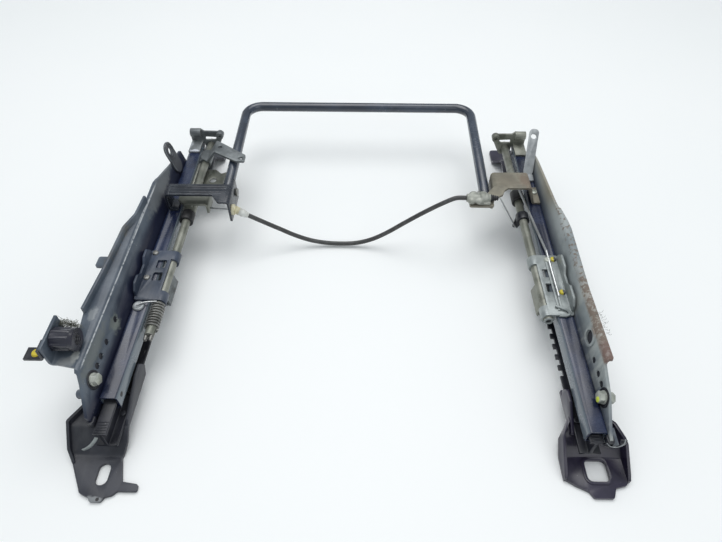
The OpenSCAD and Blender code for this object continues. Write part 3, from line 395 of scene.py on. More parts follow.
# Stains, scuffs and painted highlights: centre, reach, tint and strength
LEFT_SCUFFS = (
    (place("left", -24, -160, 77.5), (0.004, 0.007, 0.003), (0.50, 0.52, 0.50), 0.8),
    (place("left", -29, -166, 78), (0.009, 0.006, 0.004), (0.24, 0.25, 0.25), 0.7),
    (place("left", -24, -116, 78), (0.005, 0.010, 0.004), (0.27, 0.29, 0.30), 0.6),
    (place("left", -9, -112, 60), (0.009, 0.012, 0.010), (0.19, 0.21, 0.19), 0.8),
    (place("left", -12, -150, 70), (0.010, 0.040, 0.009), (0.13, 0.145, 0.14), 0.7),
    (place("left", -14, 70, 68), (0.010, 0.060, 0.012), (0.15, 0.16, 0.165), 0.7),
    (place("left", -27, 5, 80), (0.006, 0.040, 0.010), (0.12, 0.115, 0.10), 0.7),
    (place("left", -30, -40, 80), (0.006, 0.040, 0.010), (0.10, 0.095, 0.09), 0.6),
)
FOOT_SCUFFS = (
    (place("left", 12, -214, 3), (0.004, 0.005, 0.006), (0.36, 0.37, 0.37), 0.5),
    (place("left", -6, -251, 4), (0.012, 0.004, 0.006), (0.40, 0.42, 0.43), 0.5),
)
# Painted highlights: pale spots at the foot of the left front arm, where its edge catches light
FRONT_GLINTS = (
    (place("left", 1, 163, 50.5), (0.008, 0.004, 0.004), (0.52, 0.55, 0.60), 0.75),
    (place("left", -6, 176, 52.0), (0.003, 0.010, 0.004), (0.45, 0.48, 0.52), 0.6),
)
ARM_STAINS = (
    (place("right", 10, 86, 68), (0.014, 0.018, 0.012), (0.19, 0.135, 0.10), 0.7),
    (place("right", 34, 84, 71), (0.016, 0.016, 0.006), (0.20, 0.175, 0.135), 0.6),
)

# Palette
# The channel's inboard tint is a painted highlight along its inboard side
channel_enamel = enamel(
    "channel_enamel", (0.006, 0.010, 0.032), (0.019, 0.030, 0.074), dust=0.06, rough=0.26,
    scratched=0.25, inboard=(0.15, 0.18, 0.205), gloss=0.5)
rail_enamel = enamel(
    "rail_enamel", (0.009, 0.010, 0.015), (0.022, 0.023, 0.032), dust=0.15, rough=0.32,
    scratched=0.6)
foot_enamel = enamel(
    "foot_enamel", (0.022, 0.024, 0.033), (0.040, 0.043, 0.056), dust=0.10, rough=0.44,
    scratched=0.35, patches=FOOT_SCUFFS)
purple_enamel = enamel(
    "purple_enamel", (0.012, 0.010, 0.024), (0.026, 0.022, 0.046), dust=0.06, rough=0.30,
    scratched=0.4, gloss=0.3)
wall_enamel = navy_wall("wall_enamel", LEFT_SCUFFS)
nut_enamel = enamel(
    "nut_enamel", (0.008, 0.008, 0.014), (0.020, 0.020, 0.034), dust=0.10, rough=0.28,
    scratched=0.5, gloss=0.4)
bracket_enamel = enamel(
    "bracket_enamel", (0.014, 0.017, 0.025), (0.038, 0.044, 0.056), dust=0.06, rough=0.26,
    scratched=0.4)
latch_enamel = enamel(
    "latch_enamel", (0.032, 0.043, 0.068), (0.064, 0.081, 0.120), dust=0.14, rough=0.32,
    scratched=0.4)
bar_enamel = enamel(
    "bar_enamel", (0.016, 0.024, 0.042), (0.032, 0.047, 0.076), dust=0.05, rough=0.24,
    scratched=0.2, gloss=0.8)
ear_enamel = enamel(
    "ear_enamel", (0.060, 0.063, 0.072), (0.110, 0.114, 0.124), dust=0.25, rough=0.40,
    scratched=0.5)
khaki_zinc = zinc("khaki_zinc", (0.170, 0.176, 0.148), (0.290, 0.295, 0.255), (0.080, 0.076, 0.060))
# dark_zinc carries the painted highlights of FRONT_GLINTS
dark_zinc = zinc(
    "dark_zinc", (0.120, 0.132, 0.138), (0.220, 0.238, 0.244), (0.055, 0.055, 0.057),
    patches=FRONT_GLINTS)
pale_zinc = zinc(
    "pale_zinc", (0.23, 0.255, 0.255), (0.37, 0.40, 0.395), (0.12, 0.125, 0.12), rough=0.38,
    metal=0.35)
tan_zinc = zinc(
    "tan_zinc", (0.180, 0.166, 0.132), (0.275, 0.255, 0.200), (0.12, 0.095, 0.07), rough=0.46,
    metal=0.3, patches=ARM_STAINS)
grey_zinc = zinc(
    "grey_zinc", (0.20, 0.215, 0.225), (0.34, 0.36, 0.37), (0.12, 0.12, 0.12), metal=0.35)
bolt_zinc = zinc("bolt_zinc", (0.34, 0.36, 0.32), (0.56, 0.58, 0.52), (0.22, 0.22, 0.16), rough=0.34)
spring_steel = zinc(
    "spring_steel", (0.14, 0.138, 0.13), (0.27, 0.265, 0.25), (0.06, 0.05, 0.045), rough=0.34,
    metal=0.7)
bright_steel = zinc(
    "bright_steel", (0.40, 0.41, 0.41), (0.62, 0.63, 0.63), (0.20, 0.19, 0.18), rough=0.30,
    metal=0.8)
cast_alloy = zinc(
    "cast_alloy", (0.27, 0.28, 0.245), (0.46, 0.47, 0.425), (0.13, 0.13, 0.10), rough=0.5,
    metal=0.3)
right_wall = rusty_wall("worn_grey_wall")
rivet_paint = daubed_rivets("daubed_rivets")
yellow_paint = paint_mark("yellow_paint", (0.66, 0.52, 0.03), (0.45, 0.36, 0.04))
lime_paint = paint_mark("lime_paint", (0.60, 0.68, 0.07), (0.42, 0.50, 0.08))
black_plastic = moulded("black_moulding", (0.016, 0.016, 0.018), (0.040, 0.040, 0.042))
sheath_plastic = moulded("sheath_plastic", (0.045, 0.045, 0.045), (0.088, 0.088, 0.087), rough=0.42)
cream_plastic = moulded("cream_moulding", (0.66, 0.62, 0.44), (0.50, 0.46, 0.30), rough=0.45)
sleeve_plastic = moulded("sleeve_plastic", (0.70, 0.71, 0.68), (0.48, 0.48, 0.44), rough=0.35)
lint_fibre = moulded("lint_fibre", (0.15, 0.155, 0.13), (0.30, 0.30, 0.26), rough=0.9)
dark_edge = rubbed_edge("dark_edge", (0.040, 0.043, 0.050), gain=2.2)
wall_edge = rubbed_edge("wall_edge", (0.090, 0.100, 0.110), gain=2.4)
grey_edge = rubbed_edge("grey_edge", (0.19, 0.19, 0.18), gain=1.8)
pale_edge = rubbed_edge("pale_edge", (0.34, 0.35, 0.33), gain=1.5)

# Mesh tools, with sections and profiles in millimetres and points in metres
SAME_POINT = 1e-7
ROUND_SIDES = 40
SMALL_SIDES = 24


def settle(name, mesh, finish, body, node=None, smooth=35.0):
    """A finished mesh becomes a piece that rides a body, and may stand for a node."""
    if finish is not None:
        mesh.materials.clear()
        mesh.materials.append(finish)
    mesh.shade_smooth()
    mesh.set_sharp_from_angle(angle=math.radians(smooth))
    piece = linked(name, mesh)
    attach(piece, body)
    if node:
        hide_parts(node)
    return piece


def baked(name, maker):
    """Mesh of an object with its modifiers applied. The object goes."""
    bpy.context.view_layer.update()
    mesh = bpy.data.meshes.new_from_object(maker.evaluated_get(bpy.context.evaluated_depsgraph_get()))
    bpy.data.objects.remove(maker)
    mesh.name = name
    return mesh


def ringed(name, rings, closed_ends=True, closed_loop=False):
    """Mesh through rings of equally many points."""
    count = len(rings[0])
    work = bmesh.new()
    rows = [[work.verts.new(point) for point in ring] for ring in rings]
    pairs = list(zip(rows, rows[1:]))
    if closed_loop:
        pairs.append((rows[-1], rows[0]))
    for row, after in pairs:
        for i in range(count):
            k = (i + 1) % count
            work.faces.new((row[i], row[k], after[k], after[i]))
    if closed_ends and not closed_loop:
        work.faces.new(list(reversed(rows[0])))
        work.faces.new(rows[-1])
    bmesh.ops.remove_doubles(work, verts=work.verts, dist=SAME_POINT)
    bmesh.ops.recalc_face_normals(work, faces=work.faces)
    mesh = bpy.data.meshes.new(name)
    work.to_mesh(mesh)
    work.free()
    return mesh


def smoothed(points, steps=5):
    """Catmull-Rom curve through the points."""
    padded = [points[0] * 2 - points[1], *points, points[-1] * 2 - points[-2]]
    made = []
    for a, b, c, d in zip(padded, padded[1:], padded[2:], padded[3:]):
        for i in range(steps):
            t = i / steps
            made.append(0.5 * (2 * b + (c - a) * t + (2 * a - 5 * b + 4 * c - d) * t * t
                               + (3 * b - a - 3 * c + d) * t ** 3))
    made.append(points[-1])
    return made


def circle(radius, sides):
    """Points of a round section."""
    turns = [2 * math.pi * i / sides for i in range(sides)]
    return [(radius / 1000 * math.cos(turn), radius / 1000 * math.sin(turn)) for turn in turns]


def strip(width, thick):
    """Points of a flat section with rounded edges."""
    half, flat = width / 2000, thick / 2000
    return [(-half, -flat * 0.4), (-half + flat, -flat), (half - flat, -flat), (half, -flat * 0.4),
            (half, flat * 0.4), (half - flat, flat), (-half + flat, flat), (-half, flat * 0.4)]


def sweep(name, points, section, up):
    """Section carried along points, with its second axis towards up."""
    rings = []
    for i, point in enumerate(points):
        ahead = points[min(i + 1, len(points) - 1)] - points[max(i - 1, 0)]
        side = ahead.cross(Vector(up)).normalized()
        top = side.cross(ahead).normalized()
        rings.append([point + side * a + top * b for a, b in section])
    return ringed(name, rings)


def lathe(name, profile, origin, axis, sides=ROUND_SIDES, loop=False):
    """Profile of distances along the axis and radii, turned round the axis."""
    aim = Vector((0, 0, 1)).rotation_difference(Vector(axis)).to_matrix()
    rings = []
    for t, r in profile:
        rings.append([Vector(origin) + aim @ Vector((a, b, t / 1000)) for a, b in circle(r, sides)])
    return ringed(name, rings, closed_ends=profile[0][1] > 0, closed_loop=loop)


def joined(name, meshes):
    """One mesh from several."""
    work = bmesh.new()
    for part in meshes:
        work.from_mesh(part)
    mesh = bpy.data.meshes.new(name)
    work.to_mesh(mesh)
    work.free()
    return mesh


def turned(name, profile, origin, axis, finish, body, sides=ROUND_SIDES, loop=False, node=None):
    """A lathed piece."""
    settle(name, lathe(name, profile, origin, axis, sides, loop), finish, body, node)


def drawn(name, points, section, up, finish, body):
    """A swept piece."""
    settle(name, sweep(name, points, section, up), finish, body)


# Release cable from its ferrule on the left to its clamp on the right, in millimetres across and up
CABLE_D = 5.0
CABLE_Y = 49.0
FERRULE_FROM = (-132.5, 55.2)
FERRULE_DIP = math.radians(32.0)
FERRULE_LEAD = (12.3, 20)
CABLE_END = (120.5, 76.05)
ROUTE_STEPS = 4
dip = (math.cos(FERRULE_DIP), -math.sin(FERRULE_DIP))
CABLE_ROUTE = [
    *[(FERRULE_FROM[0] + d * dip[0], FERRULE_FROM[1] + d * dip[1]) for d in FERRULE_LEAD],
    (-100, 35), (-86, 26.6), (-70, 17), (-52, 9), (-34, 5), (-16, 4), (2, 5.5), (20, 12), (37, 23),
    (53, 36), (68, 48), (82, 58.5), (95, 67.5), (CABLE_END[0] - 12, CABLE_END[1] - 0.8),
    (CABLE_END[0] - 0.3, CABLE_END[1]),
]
cable_points = smoothed([place("middle", x, CABLE_Y, z) for x, z in CABLE_ROUTE], ROUTE_STEPS)
cable_length = sum((b - a).length for a, b in zip(cable_points, cable_points[1:]))
cable_line = bpy.data.curves.new("release_cable", "CURVE")
cable_line.dimensions = "3D"
cable_line.bevel_depth = CABLE_D / 2000
cable_line.bevel_resolution = 5
cable_line.use_fill_caps = True
cable_spline = cable_line.splines.new("POLY")
cable_spline.points.add(len(cable_points) - 1)
for spot, point in zip(cable_spline.points, cable_points):
    spot.co = (*point, 1.0)
cable_spline.use_smooth = True
cable_line.materials.append(sheath_plastic)
cable = linked("release_cable", cable_line)
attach(cable, "left_upper")
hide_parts("cable_sheath")

# Sheet metal, with merged faces, rounded edges and a finish
DRESSED = {}
MERGED_POINT = 2e-6
FLAT_ANGLE = 1.2
EDGE_ANGLE = 38
EDGE_SEGMENTS = 2
DRESSED_SMOOTH = 32.0


def dress(node, finish, edge, bevel):
    """A copy of a node with rounded, rubbed edges stands for the node."""
    mesh = frame["nodes"][node].data.copy()
    work = bmesh.new()
    work.from_mesh(mesh)
    bmesh.ops.remove_doubles(work, verts=work.verts, dist=MERGED_POINT)
    bmesh.ops.dissolve_limit(
        work, angle_limit=math.radians(FLAT_ANGLE), use_dissolve_boundaries=False, verts=work.verts,
        edges=work.edges)
    work.to_mesh(mesh)
    work.free()
    mesh.materials.clear()
    mesh.materials.append(finish)
    mesh.materials.append(edge)
    for face in mesh.polygons:
        face.material_index = 0
    rough_cut = linked(node + "_sharp", mesh)
    rounding = rough_cut.modifiers.new("rounding", "BEVEL")
    rounding.width = bevel / 1000
    rounding.segments = EDGE_SEGMENTS
    rounding.limit_method = "ANGLE"
    rounding.angle_limit = math.radians(EDGE_ANGLE)
    rounding.material = 1
    name = node + "_dressed"
    DRESSED[node] = settle(name, baked(name, rough_cut), None, carrier_of(node), node, DRESSED_SMOOTH)


THIN, SHEET, THICK = 0.3, 0.5, 0.85
WEAR = {
    (channel_enamel, dark_edge, SHEET): ("left_upper_rail", "right_upper_rail"),
    (rail_enamel, dark_edge, SHEET): (
        "left_lower_rail", "right_lower_rail", "left_foot_rivets", "right_foot_rivets", "left_end_clip",
        "right_end_clip", "left_hook_tab", "right_release_lever"),
    (foot_enamel, dark_edge, THICK): ("left_rear_foot", "left_front_foot"),
    (purple_enamel, dark_edge, THICK): ("right_rear_foot", "right_front_foot"),
    (wall_enamel, wall_edge, SHEET): ("left_side_bracket",),
    (right_wall, grey_edge, SHEET): ("right_side_bracket",),
    (latch_enamel, wall_edge, SHEET): ("left_latch_bracket",),
    (bracket_enamel, wall_edge, SHEET): ("left_cable_bracket",),
    (bar_enamel, bar_enamel, THIN): ("lift_bar",),
    (ear_enamel, wall_edge, SHEET): ("left_seat_ear",),
    (grey_zinc, pale_edge, SHEET): ("right_seat_ear",),
    (pale_zinc, pale_edge, SHEET): ("right_latch_bracket",),
    (dark_zinc, grey_edge, SHEET): ("left_front_arm", "handle_lever", "left_lock_plate"),
    (khaki_zinc, grey_edge, SHEET): (
        "right_front_arm", "left_front_plate", "left_release_lever", "right_lock_plate"),
    (khaki_zinc, grey_edge, THIN): ("left_torque_rod", "right_torque_rod"),
    (tan_zinc, grey_edge, SHEET): ("right_cable_arm",),
    (bolt_zinc, pale_edge, SHEET): ("left_wall_bolt", "right_wall_bolt"),
    (spring_steel, grey_edge, THIN): (
        "left_latch_rivets", "left_pivot_pin", "right_pivot_pin", "left_torsion_spring"),
    (bright_steel, pale_edge, THIN): (
        "left_balls", "right_balls", "left_rollers", "right_rollers", "left_cable_wire", "right_cable_wire",
        "right_return_wire"),
    (rivet_paint, rivet_paint, THIN): ("right_latch_rivets",),
    (yellow_paint, yellow_paint, THIN): ("left_hook_rivet",),
    (black_plastic, black_plastic, THIN): ("left_rod_bush", "right_rod_bush"),
    (cream_plastic, cream_plastic, THIN): ("left_cable_ferrule",),
}
for (finish, edge, bevel), nodes in WEAR.items():
    for node_name in nodes:
        dress(node_name, finish, edge, bevel)

# Places on dressed nodes, found by rays that start above or inboard of them
ABOVE = 200
INBOARD = 30


def landing(node, start, aim):
    """Where a ray meets a dressed node."""
    mesh = DRESSED[node].data
    tree = BVHTree.FromPolygons([v.co for v in mesh.vertices], [p.vertices for p in mesh.polygons])
    return tree.ray_cast(Vector(start), Vector(aim).normalized())[0]


def below(node, side, u, y):
    """Where a plumb line meets a dressed node."""
    return landing(node, place(side, u, y, ABOVE), (0, 0, -1))


def sighted(node, across, down):
    """Where the camera's line through a point of the picture, in photo pixels, meets a dressed node."""
    ray = Vector((across - PHOTO_MIDDLE[0], PHOTO_MIDDLE[1] - down, -PHOTO_FOCAL))
    return landing(node, CAMERA_PLACE, camera.rotation_euler.to_matrix() @ ray)


def on_wall(node, side, y, z, beside=0.0):
    """Point of a wall's inner face at (y, z), measured beside whatever covers it."""
    outward = -1 if side == "left" else 1
    hit = landing(node, place(side, INBOARD, y + beside, z), (outward, 0, 0))
    return Vector((hit.x, place(side, 0, y, z).y, z / 1000))


def wall_axis(side, lean):
    """Direction out of a leaning wall's inner face."""
    inward = 1 if side == "left" else -1
    return Vector((inward * math.cos(lean), 0, math.sin(lean)))


# Cable ends: ribbed sleeve, corrugated boot and lumpy cast clamp
SLEEVE = [(4.0, 0), (4.0, 4.6), (5.6, 4.6), (6.2, 4.2), (7.8, 4.2), (8.4, 4.5), (9.8, 4.4), (10.4, 3.9),
          (12.6, 3.8), (13.2, 3.3), (15.4, 3.1), (15.6, 0)]
ferrule_place = place("middle", FERRULE_FROM[0], CABLE_Y, FERRULE_FROM[1])
turned("ferrule_sleeve", SLEEVE, ferrule_place, (dip[0], 0, dip[1]), sleeve_plastic,
       carrier_of("left_cable_ferrule"))

BOOT_FROM_U = 58.0
BOOT_LEN = 9.0
BOOT_R = 4.0
BOOT_TAPER = 0.45
BOOT_FOLDS = 4
FOLD = ((0.0, -0.5), (0.5, 0.0), (1.2, 0.0), (1.7, -0.9))
boot_profile = [(0.0, 0)]
for fold in range(BOOT_FOLDS):
    start = fold * BOOT_LEN / BOOT_FOLDS
    wide = BOOT_R - BOOT_TAPER * fold
    boot_profile += [(start + t, wide + rise) for t, rise in FOLD]
boot_profile.append((BOOT_LEN, 0))
boot_place = place("right", BOOT_FROM_U, CABLE_Y, CABLE_END[1])
turned("cable_boot", boot_profile, boot_place, (1, 0, 0), black_plastic, carrier_of("right_cable_boot"),
       node="right_cable_boot")

# Lumps of the casting: centre in the frame and reach, in millimetres
CLAMP_LUMPS = (
    ((139, 47.0, 75.6), (5.2, 4.6, 3.8)),
    ((147, 46.6, 75.4), (4.6, 4.2, 3.8)),
    ((151, 54.4, 78.4), (5.0, 3.4, 3.2)),
    ((141, 54.0, 78.6), (4.6, 3.6, 3.2)),
    ((154, 50.6, 77.6), (4.4, 5.2, 4.0)),
)
CLAMP_VOXEL = 0.0006
CLAMP_SOFTENING = 4
CLAMP_SMOOTH = 60.0
casting = bmesh.new()
casting.from_mesh(frame["nodes"]["right_cable_clamp"].data)
for centre, reach in CLAMP_LUMPS:
    lump = Matrix.Translation(Vector(centre) / 1000) @ Matrix.Diagonal((*(r / 1000 for r in reach), 1))
    bmesh.ops.create_icosphere(casting, subdivisions=3, radius=1.0, matrix=lump)
casting_mesh = bpy.data.meshes.new("clamp_rough")
casting.to_mesh(casting_mesh)
casting.free()
rough_clamp = linked("clamp_rough", casting_mesh)
skin = rough_clamp.modifiers.new("skin", "REMESH")
skin.mode = "VOXEL"
skin.voxel_size = CLAMP_VOXEL
soften = rough_clamp.modifiers.new("soften", "SMOOTH")
soften.iterations = CLAMP_SOFTENING
settle("cable_clamp", baked("cable_clamp", rough_clamp), cast_alloy, carrier_of("right_cable_clamp"),
       "right_cable_clamp", CLAMP_SMOOTH)

# Anchor nut: splined outside, thread in its bore
NUT_FROM_U = -40.5
NUT_AT = (-151.0, 89.2)
NUT_LEN = 20.0
NUT_R = 10.0
NUT_BORE_R = 5.2
SPLINES = 9
SPLINE_DEPTH = 0.9
COLLAR_FROM = 15.0
THREAD_PITCH = 1.6
THREAD_DEPTH = 0.3
NUT_STEPS = 108
BORE_STEPS = 50
NUT_PROFILE = (
    (0.0, 0.9), (0.6, 1.0), (14.6, 1.0), (15.4, 0.93), (16.4, 0.93), (17.0, 1.0), (19.4, 1.0), (20.0, 0.94))


def nut_ring(t, radius_at):
    """Ring round the nut's axis at distance t from the lug."""
    ring = []
    for i in range(NUT_STEPS):
        turn = 2 * math.pi * i / NUT_STEPS
        r = radius_at(turn)
        y, z = NUT_AT[0] + r * math.cos(turn), NUT_AT[1] + r * math.sin(turn)
        ring.append(place("left", NUT_FROM_U + t, y, z))
    return ring


def splined(turn, swell):
    """Radius of the splined stretch at a turn round the axis."""
    rib = max(0.0, math.cos(SPLINES * turn)) ** 0.5
    return NUT_R * swell - SPLINE_DEPTH * (1 - rib)


nut_rings = []
for t, swell in NUT_PROFILE:
    if t < COLLAR_FROM:
        nut_rings.append(nut_ring(t, lambda turn: splined(turn, swell)))
    else:
        nut_rings.append(nut_ring(t, lambda turn: NUT_R * swell))
for step in range(BORE_STEPS + 1):
    t = NUT_LEN * (1 - step / BORE_STEPS)
    thread_r = NUT_BORE_R + THREAD_DEPTH * math.cos(2 * math.pi * t / THREAD_PITCH)
    nut_rings.append(nut_ring(t, lambda turn: thread_r))
nut_mesh = ringed("anchor_nut_splined", nut_rings, closed_loop=True)
settle("anchor_nut_splined", nut_mesh, nut_enamel, carrier_of("left_anchor_nut"), "left_anchor_nut")

# Dark rings round the wall bolts, painted shade of their holes, and paint
WALLS = {"left": "left_side_bracket", "right": "right_side_bracket"}
LEFT_LEAN = math.radians(15.0)
RIGHT_LEAN = math.radians(9.0)
WALL_AXES = {"left": wall_axis("left", LEFT_LEAN), "right": wall_axis("right", RIGHT_LEAN)}
BOLTS = {"left": (-171.0, 58.8), "right": (-178.0, 54.8)}
BESIDE_BOLT = 6.5
BOLT_SHADE_RING = [(0.0, 4.2), (0.0, 8.2), (0.4, 8.6), (0.7, 8.3), (0.7, 7.6), (0.3, 7.0), (0.3, 4.2)]
bolt_spots = {}
for side, (bolt_y, bolt_z) in BOLTS.items():
    bolt_spots[side] = on_wall(WALLS[side], side, bolt_y, bolt_z, BESIDE_BOLT)
    # Painted shade: a thin dark ring on the wall round each bolt stands for the shadow in its hole
    turned(side + "_bolt_recess", BOLT_SHADE_RING, bolt_spots[side], WALL_AXES[side], rail_enamel, side + "_upper",
           loop=True)

DAUB = [(-0.3, 0), (-0.3, 2.6), (0.2, 2.5), (0.5, 1.8), (0.62, 0)]
DAUB_OFFSET = Vector((0, -0.0015, -0.0015))
BEFORE_BOLT = 0.03
daub_from = bolt_spots["right"] + WALL_AXES["right"] * BEFORE_BOLT + DAUB_OFFSET
daub_spot = landing("right_wall_bolt", daub_from, -WALL_AXES["right"])
turned("lime_daub", DAUB, daub_spot, WALL_AXES["right"], lime_paint, "right_upper")

# Painted shade: dark discs in the holes of the walls, and small dark discs for small holes
HOLE_R = 3.05
RING_R = 6.55
HOLES = {
    "left": [(y, 59.8, HOLE_R) for y in (-158, -148, -133, -108)],
    "right": [(y, 55.8, HOLE_R) for y in (-166, -156, -142)] + [(-121, 60.8, RING_R)],
}
BESIDE_HOLE = {HOLE_R: 5.0, RING_R: 11.0}
DISC_BACK, DISC_FACE, DISC_CROWN = -2.3, -1.0, -0.9
CROWN_SHARE = 0.8


def shade_discs(side):
    """Thin dark discs set into the holes of a wall, as painted shade that makes the holes look dark."""
    made = []
    for y, z, r in HOLES[side]:
        at = on_wall(WALLS[side], side, y, z, BESIDE_HOLE[r])
        crown = (DISC_CROWN, r * CROWN_SHARE)
        profile = [(DISC_BACK, 0), (DISC_BACK, r), (DISC_FACE, r), crown, (DISC_FACE, 0)]
        made.append(lathe("shade_disc", profile, at, WALL_AXES[side], SMALL_SIDES))
    return joined(side + "_hole_plugs", made)


for side, wall in WALLS.items():
    settle(side + "_hole_plugs", shade_discs(side), rail_enamel, carrier_of(wall))

# Painted shade: dark discs stand for the shade inside a small hole in the channel and one at the foot's tip
CHANNEL_PIT_PIXEL = (121.5, 394.0)
PIT = [(-0.6, 0), (-0.6, 2.4), (0.08, 2.4), (0.16, 2.0), (0.1, 0)]
channel_pit = sighted("left_upper_rail", *CHANNEL_PIT_PIXEL)
turned("channel_pit", PIT, channel_pit, (1, 0, 0), black_plastic, "left_upper", SMALL_SIDES)
TIP_PIT_PIXEL = (97.0, 499.5)
TIP_PIT = [(-0.4, 0), (-0.4, 1.5), (0.06, 1.5), (0.06, 0)]
tip_pit = sighted("left_rear_foot", *TIP_PIT_PIXEL)
turned("foot_tip_pit", TIP_PIT, tip_pit, (0, 0, 1), black_plastic, "floor_rails", SMALL_SIDES)

# Bolt on the cable arm and the pressed tab behind the left latch
ARM_BOLT_AT = (-1.8, 90)
ARM_BOLT = [(-0.3, 0), (-0.3, 3.5), (0.7, 3.7), (1.7, 3.3), (2.0, 2.4), (1.3, 2.0), (0.5, 1.6), (0.5, 0)]
arm_spot = below("right_cable_arm", "right", *ARM_BOLT_AT)
turned("arm_bolt", ARM_BOLT, arm_spot, (0, 0, 1), bolt_zinc, "right_upper")
TAB_AT = (-0.9, -83.0)
TAB = [(0.0, 0), (0.0, 5.6), (1.0, 5.8), (2.0, 5.0), (2.4, 3.6), (2.0, 2.6), (1.9, 0)]
tab_spot = below("left_upper_rail", "left", *TAB_AT)
turned("latch_tab", TAB, tab_spot, (0, 0, 1), grey_zinc, "left_upper")

# Pressed ring and rim of the left ear
EAR_AT = (125.0, 57.8)
EAR_HOLE_UP = 20.0
PRESSED_RING = [(-0.2, 4.7), (0.5, 5.1), (0.8, 5.8), (0.5, 6.5), (-0.2, 6.9)]
EAR_RIM = [(-0.2, 8.2), (0.4, 8.5), (0.5, 9.1), (-0.2, 9.5)]
ear_up = Vector((-math.sin(LEFT_LEAN), 0, math.cos(LEFT_LEAN)))
ear_centre = on_wall("left_seat_ear", "left", *EAR_AT) + ear_up * EAR_HOLE_UP / 1000
for name, profile in (("left_ear_ring", PRESSED_RING), ("left_ear_rim", EAR_RIM)):
    turned(name, profile, ear_centre, WALL_AXES["left"], ear_enamel, "left_upper", loop=True)

# Spring end and rod ends
WIRE_SIDES = 10
HOOK_R = 0.8
HOOK_WIRE = [
    (16, -78.6, 50.4), (11, -79.6, 51.2), (6, -80.4, 51.4), (1.5, -81.6, 51.0), (-2.5, -83.4, 50.2)]
hook_points = smoothed([place("left", *p) for p in HOOK_WIRE])
drawn("spring_hook", hook_points, circle(HOOK_R, WIRE_SIDES), (0, 1, 0), bright_steel, "left_upper")

LEFT_ROD_END, RIGHT_ROD_END = -113.9, -89.9
BACKWARD = (0, -1, 0)
FORK_HALF = 2.5
PRONG_SIDES = 20
PRONG = [(0.0, 0), (0.0, 2.0), (4.6, 1.9), (5.8, 1.3), (6.2, 0)]
for name, offset in (("rod_fork_inner", FORK_HALF), ("rod_fork_outer", -FORK_HALF)):
    prong_place = place("left", ROD_U + offset, LEFT_ROD_END, ROD_Z)
    turned(name, PRONG, prong_place, BACKWARD, spring_steel, "left_lock", PRONG_SIDES)

HOLLOW_RIM = [(0.0, 2.4), (0.0, 4.3), (0.8, 4.4), (1.2, 4.0), (1.2, 2.8), (0.4, 2.4)]
# Painted shade: a dark disc fills the rim's hole, for the shade inside the hollow rod end
HOLLOW_BORE = [(-0.1, 0), (-0.1, 2.45), (0.3, 2.45), (0.3, 0)]
rod_end = place("right", ROD_U, RIGHT_ROD_END, ROD_Z)
turned("rod_hollow_rim", HOLLOW_RIM, rod_end, BACKWARD, pale_zinc, "right_lock", loop=True)
turned("rod_hollow_bore", HOLLOW_BORE, rod_end, BACKWARD, black_plastic, "right_lock")

# Return strap of the right latch: two bars, a cap and a hook
STRAP_U = 4.4
STRAP_FROM, STRAP_TO = -17.0, -83.0
STRAP_THICK = 1.3
STRAP_BARS = ((1.45, 2.4), (-1.45, 2.2))
STRAP_LIFT = 0.6
STRAP_STEPS = 8
strap_z = below("right_latch_bracket", "right", STRAP_U, STRAP_FROM).z * 1000 + STRAP_LIFT
strap_run = [STRAP_FROM + (STRAP_TO - STRAP_FROM) * i / STRAP_STEPS for i in range(STRAP_STEPS + 1)]
strap_bars = []
for shift, width in STRAP_BARS:
    strap_points = [place("right", STRAP_U + shift, y, strap_z) for y in strap_run]
    strap_bars.append(sweep("bar", strap_points, strip(width, STRAP_THICK), (0, 0, 1)))
settle("return_strap", joined("return_strap", strap_bars), pale_zinc, "right_upper")
CAP_SHIFT = (-0.2, -0.5)
STRAP_CAP = [(-0.6, 0), (-0.6, 3.3), (1.2, 3.3), (1.9, 2.7), (2.1, 1.4), (1.5, 0)]
cap_place = place("right", STRAP_U + CAP_SHIFT[0], STRAP_FROM + CAP_SHIFT[1], strap_z)
turned("strap_cap", STRAP_CAP, cap_place, (0, 0, 1), bolt_zinc, "right_upper")
STRAP_HOOK_R = 1.3
STRAP_HOOK = [
    (9, -78, 0.9), (4, -81, 1.6), (-1.0, -83.5, 1.4), (-3, -86.6, 0), (0, -88.6, -1.0), (7, -88.4, -1.2)]
strap_hook = smoothed([place("right", u, y, strap_z + rise) for u, y, rise in STRAP_HOOK])
drawn("return_hook", strap_hook, circle(STRAP_HOOK_R, WIRE_SIDES), (0.1, 0.1, 1), pale_zinc, "right_upper")

# Curled leaf of the right end clip with painted highlights along its edges, and the thin blade at the left
# rail's end
LEAF_W = 6.4
LEAF_T = 1.0
LEAF_UP = (0, 1, 0.35)
LEAF = [(-6, -211.5, 40), (-9, -213.6, 38.2), (-14, -214.2, 38.6), (-18.5, -213.4, 42), (-19.5, -211, 45.5)]
leaf_points = smoothed([place("right", *p) for p in LEAF])
drawn("right_clip_leaf", leaf_points, strip(LEAF_W, LEAF_T), LEAF_UP, rail_enamel, "right_upper")
# Painted highlights: pale rods along both edges of the leaf stand for light caught by its edges
RIM_R = 0.4
RIM_SIDES = 8
RIM_AIM = Vector((0, -0.3, 0.9))
highlight_rims = []
for shift in (-LEAF_W / 2, LEAF_W / 2):
    rim_points = [p + RIM_AIM * shift / 1000 for p in leaf_points]
    highlight_rims.append(sweep("rim", rim_points, circle(RIM_R, RIM_SIDES), LEAF_UP))
settle("right_clip_rims", joined("right_clip_rims", highlight_rims), grey_zinc, "right_upper")

BLADE_W = 3.0
BLADE_T = 0.7
BLADE = [(-6.7, -208.5, 29), (-9, -210.6, 26), (-13, -212.2, 21.5), (-17.5, -212.9, 17.5), (-22, -213, 14)]
blade_points = smoothed([place("left", *p) for p in BLADE])
drawn("rail_end_blade", blade_points, strip(BLADE_W, BLADE_T), (0.4, -1, 0.4), pale_zinc, "floor_rails")


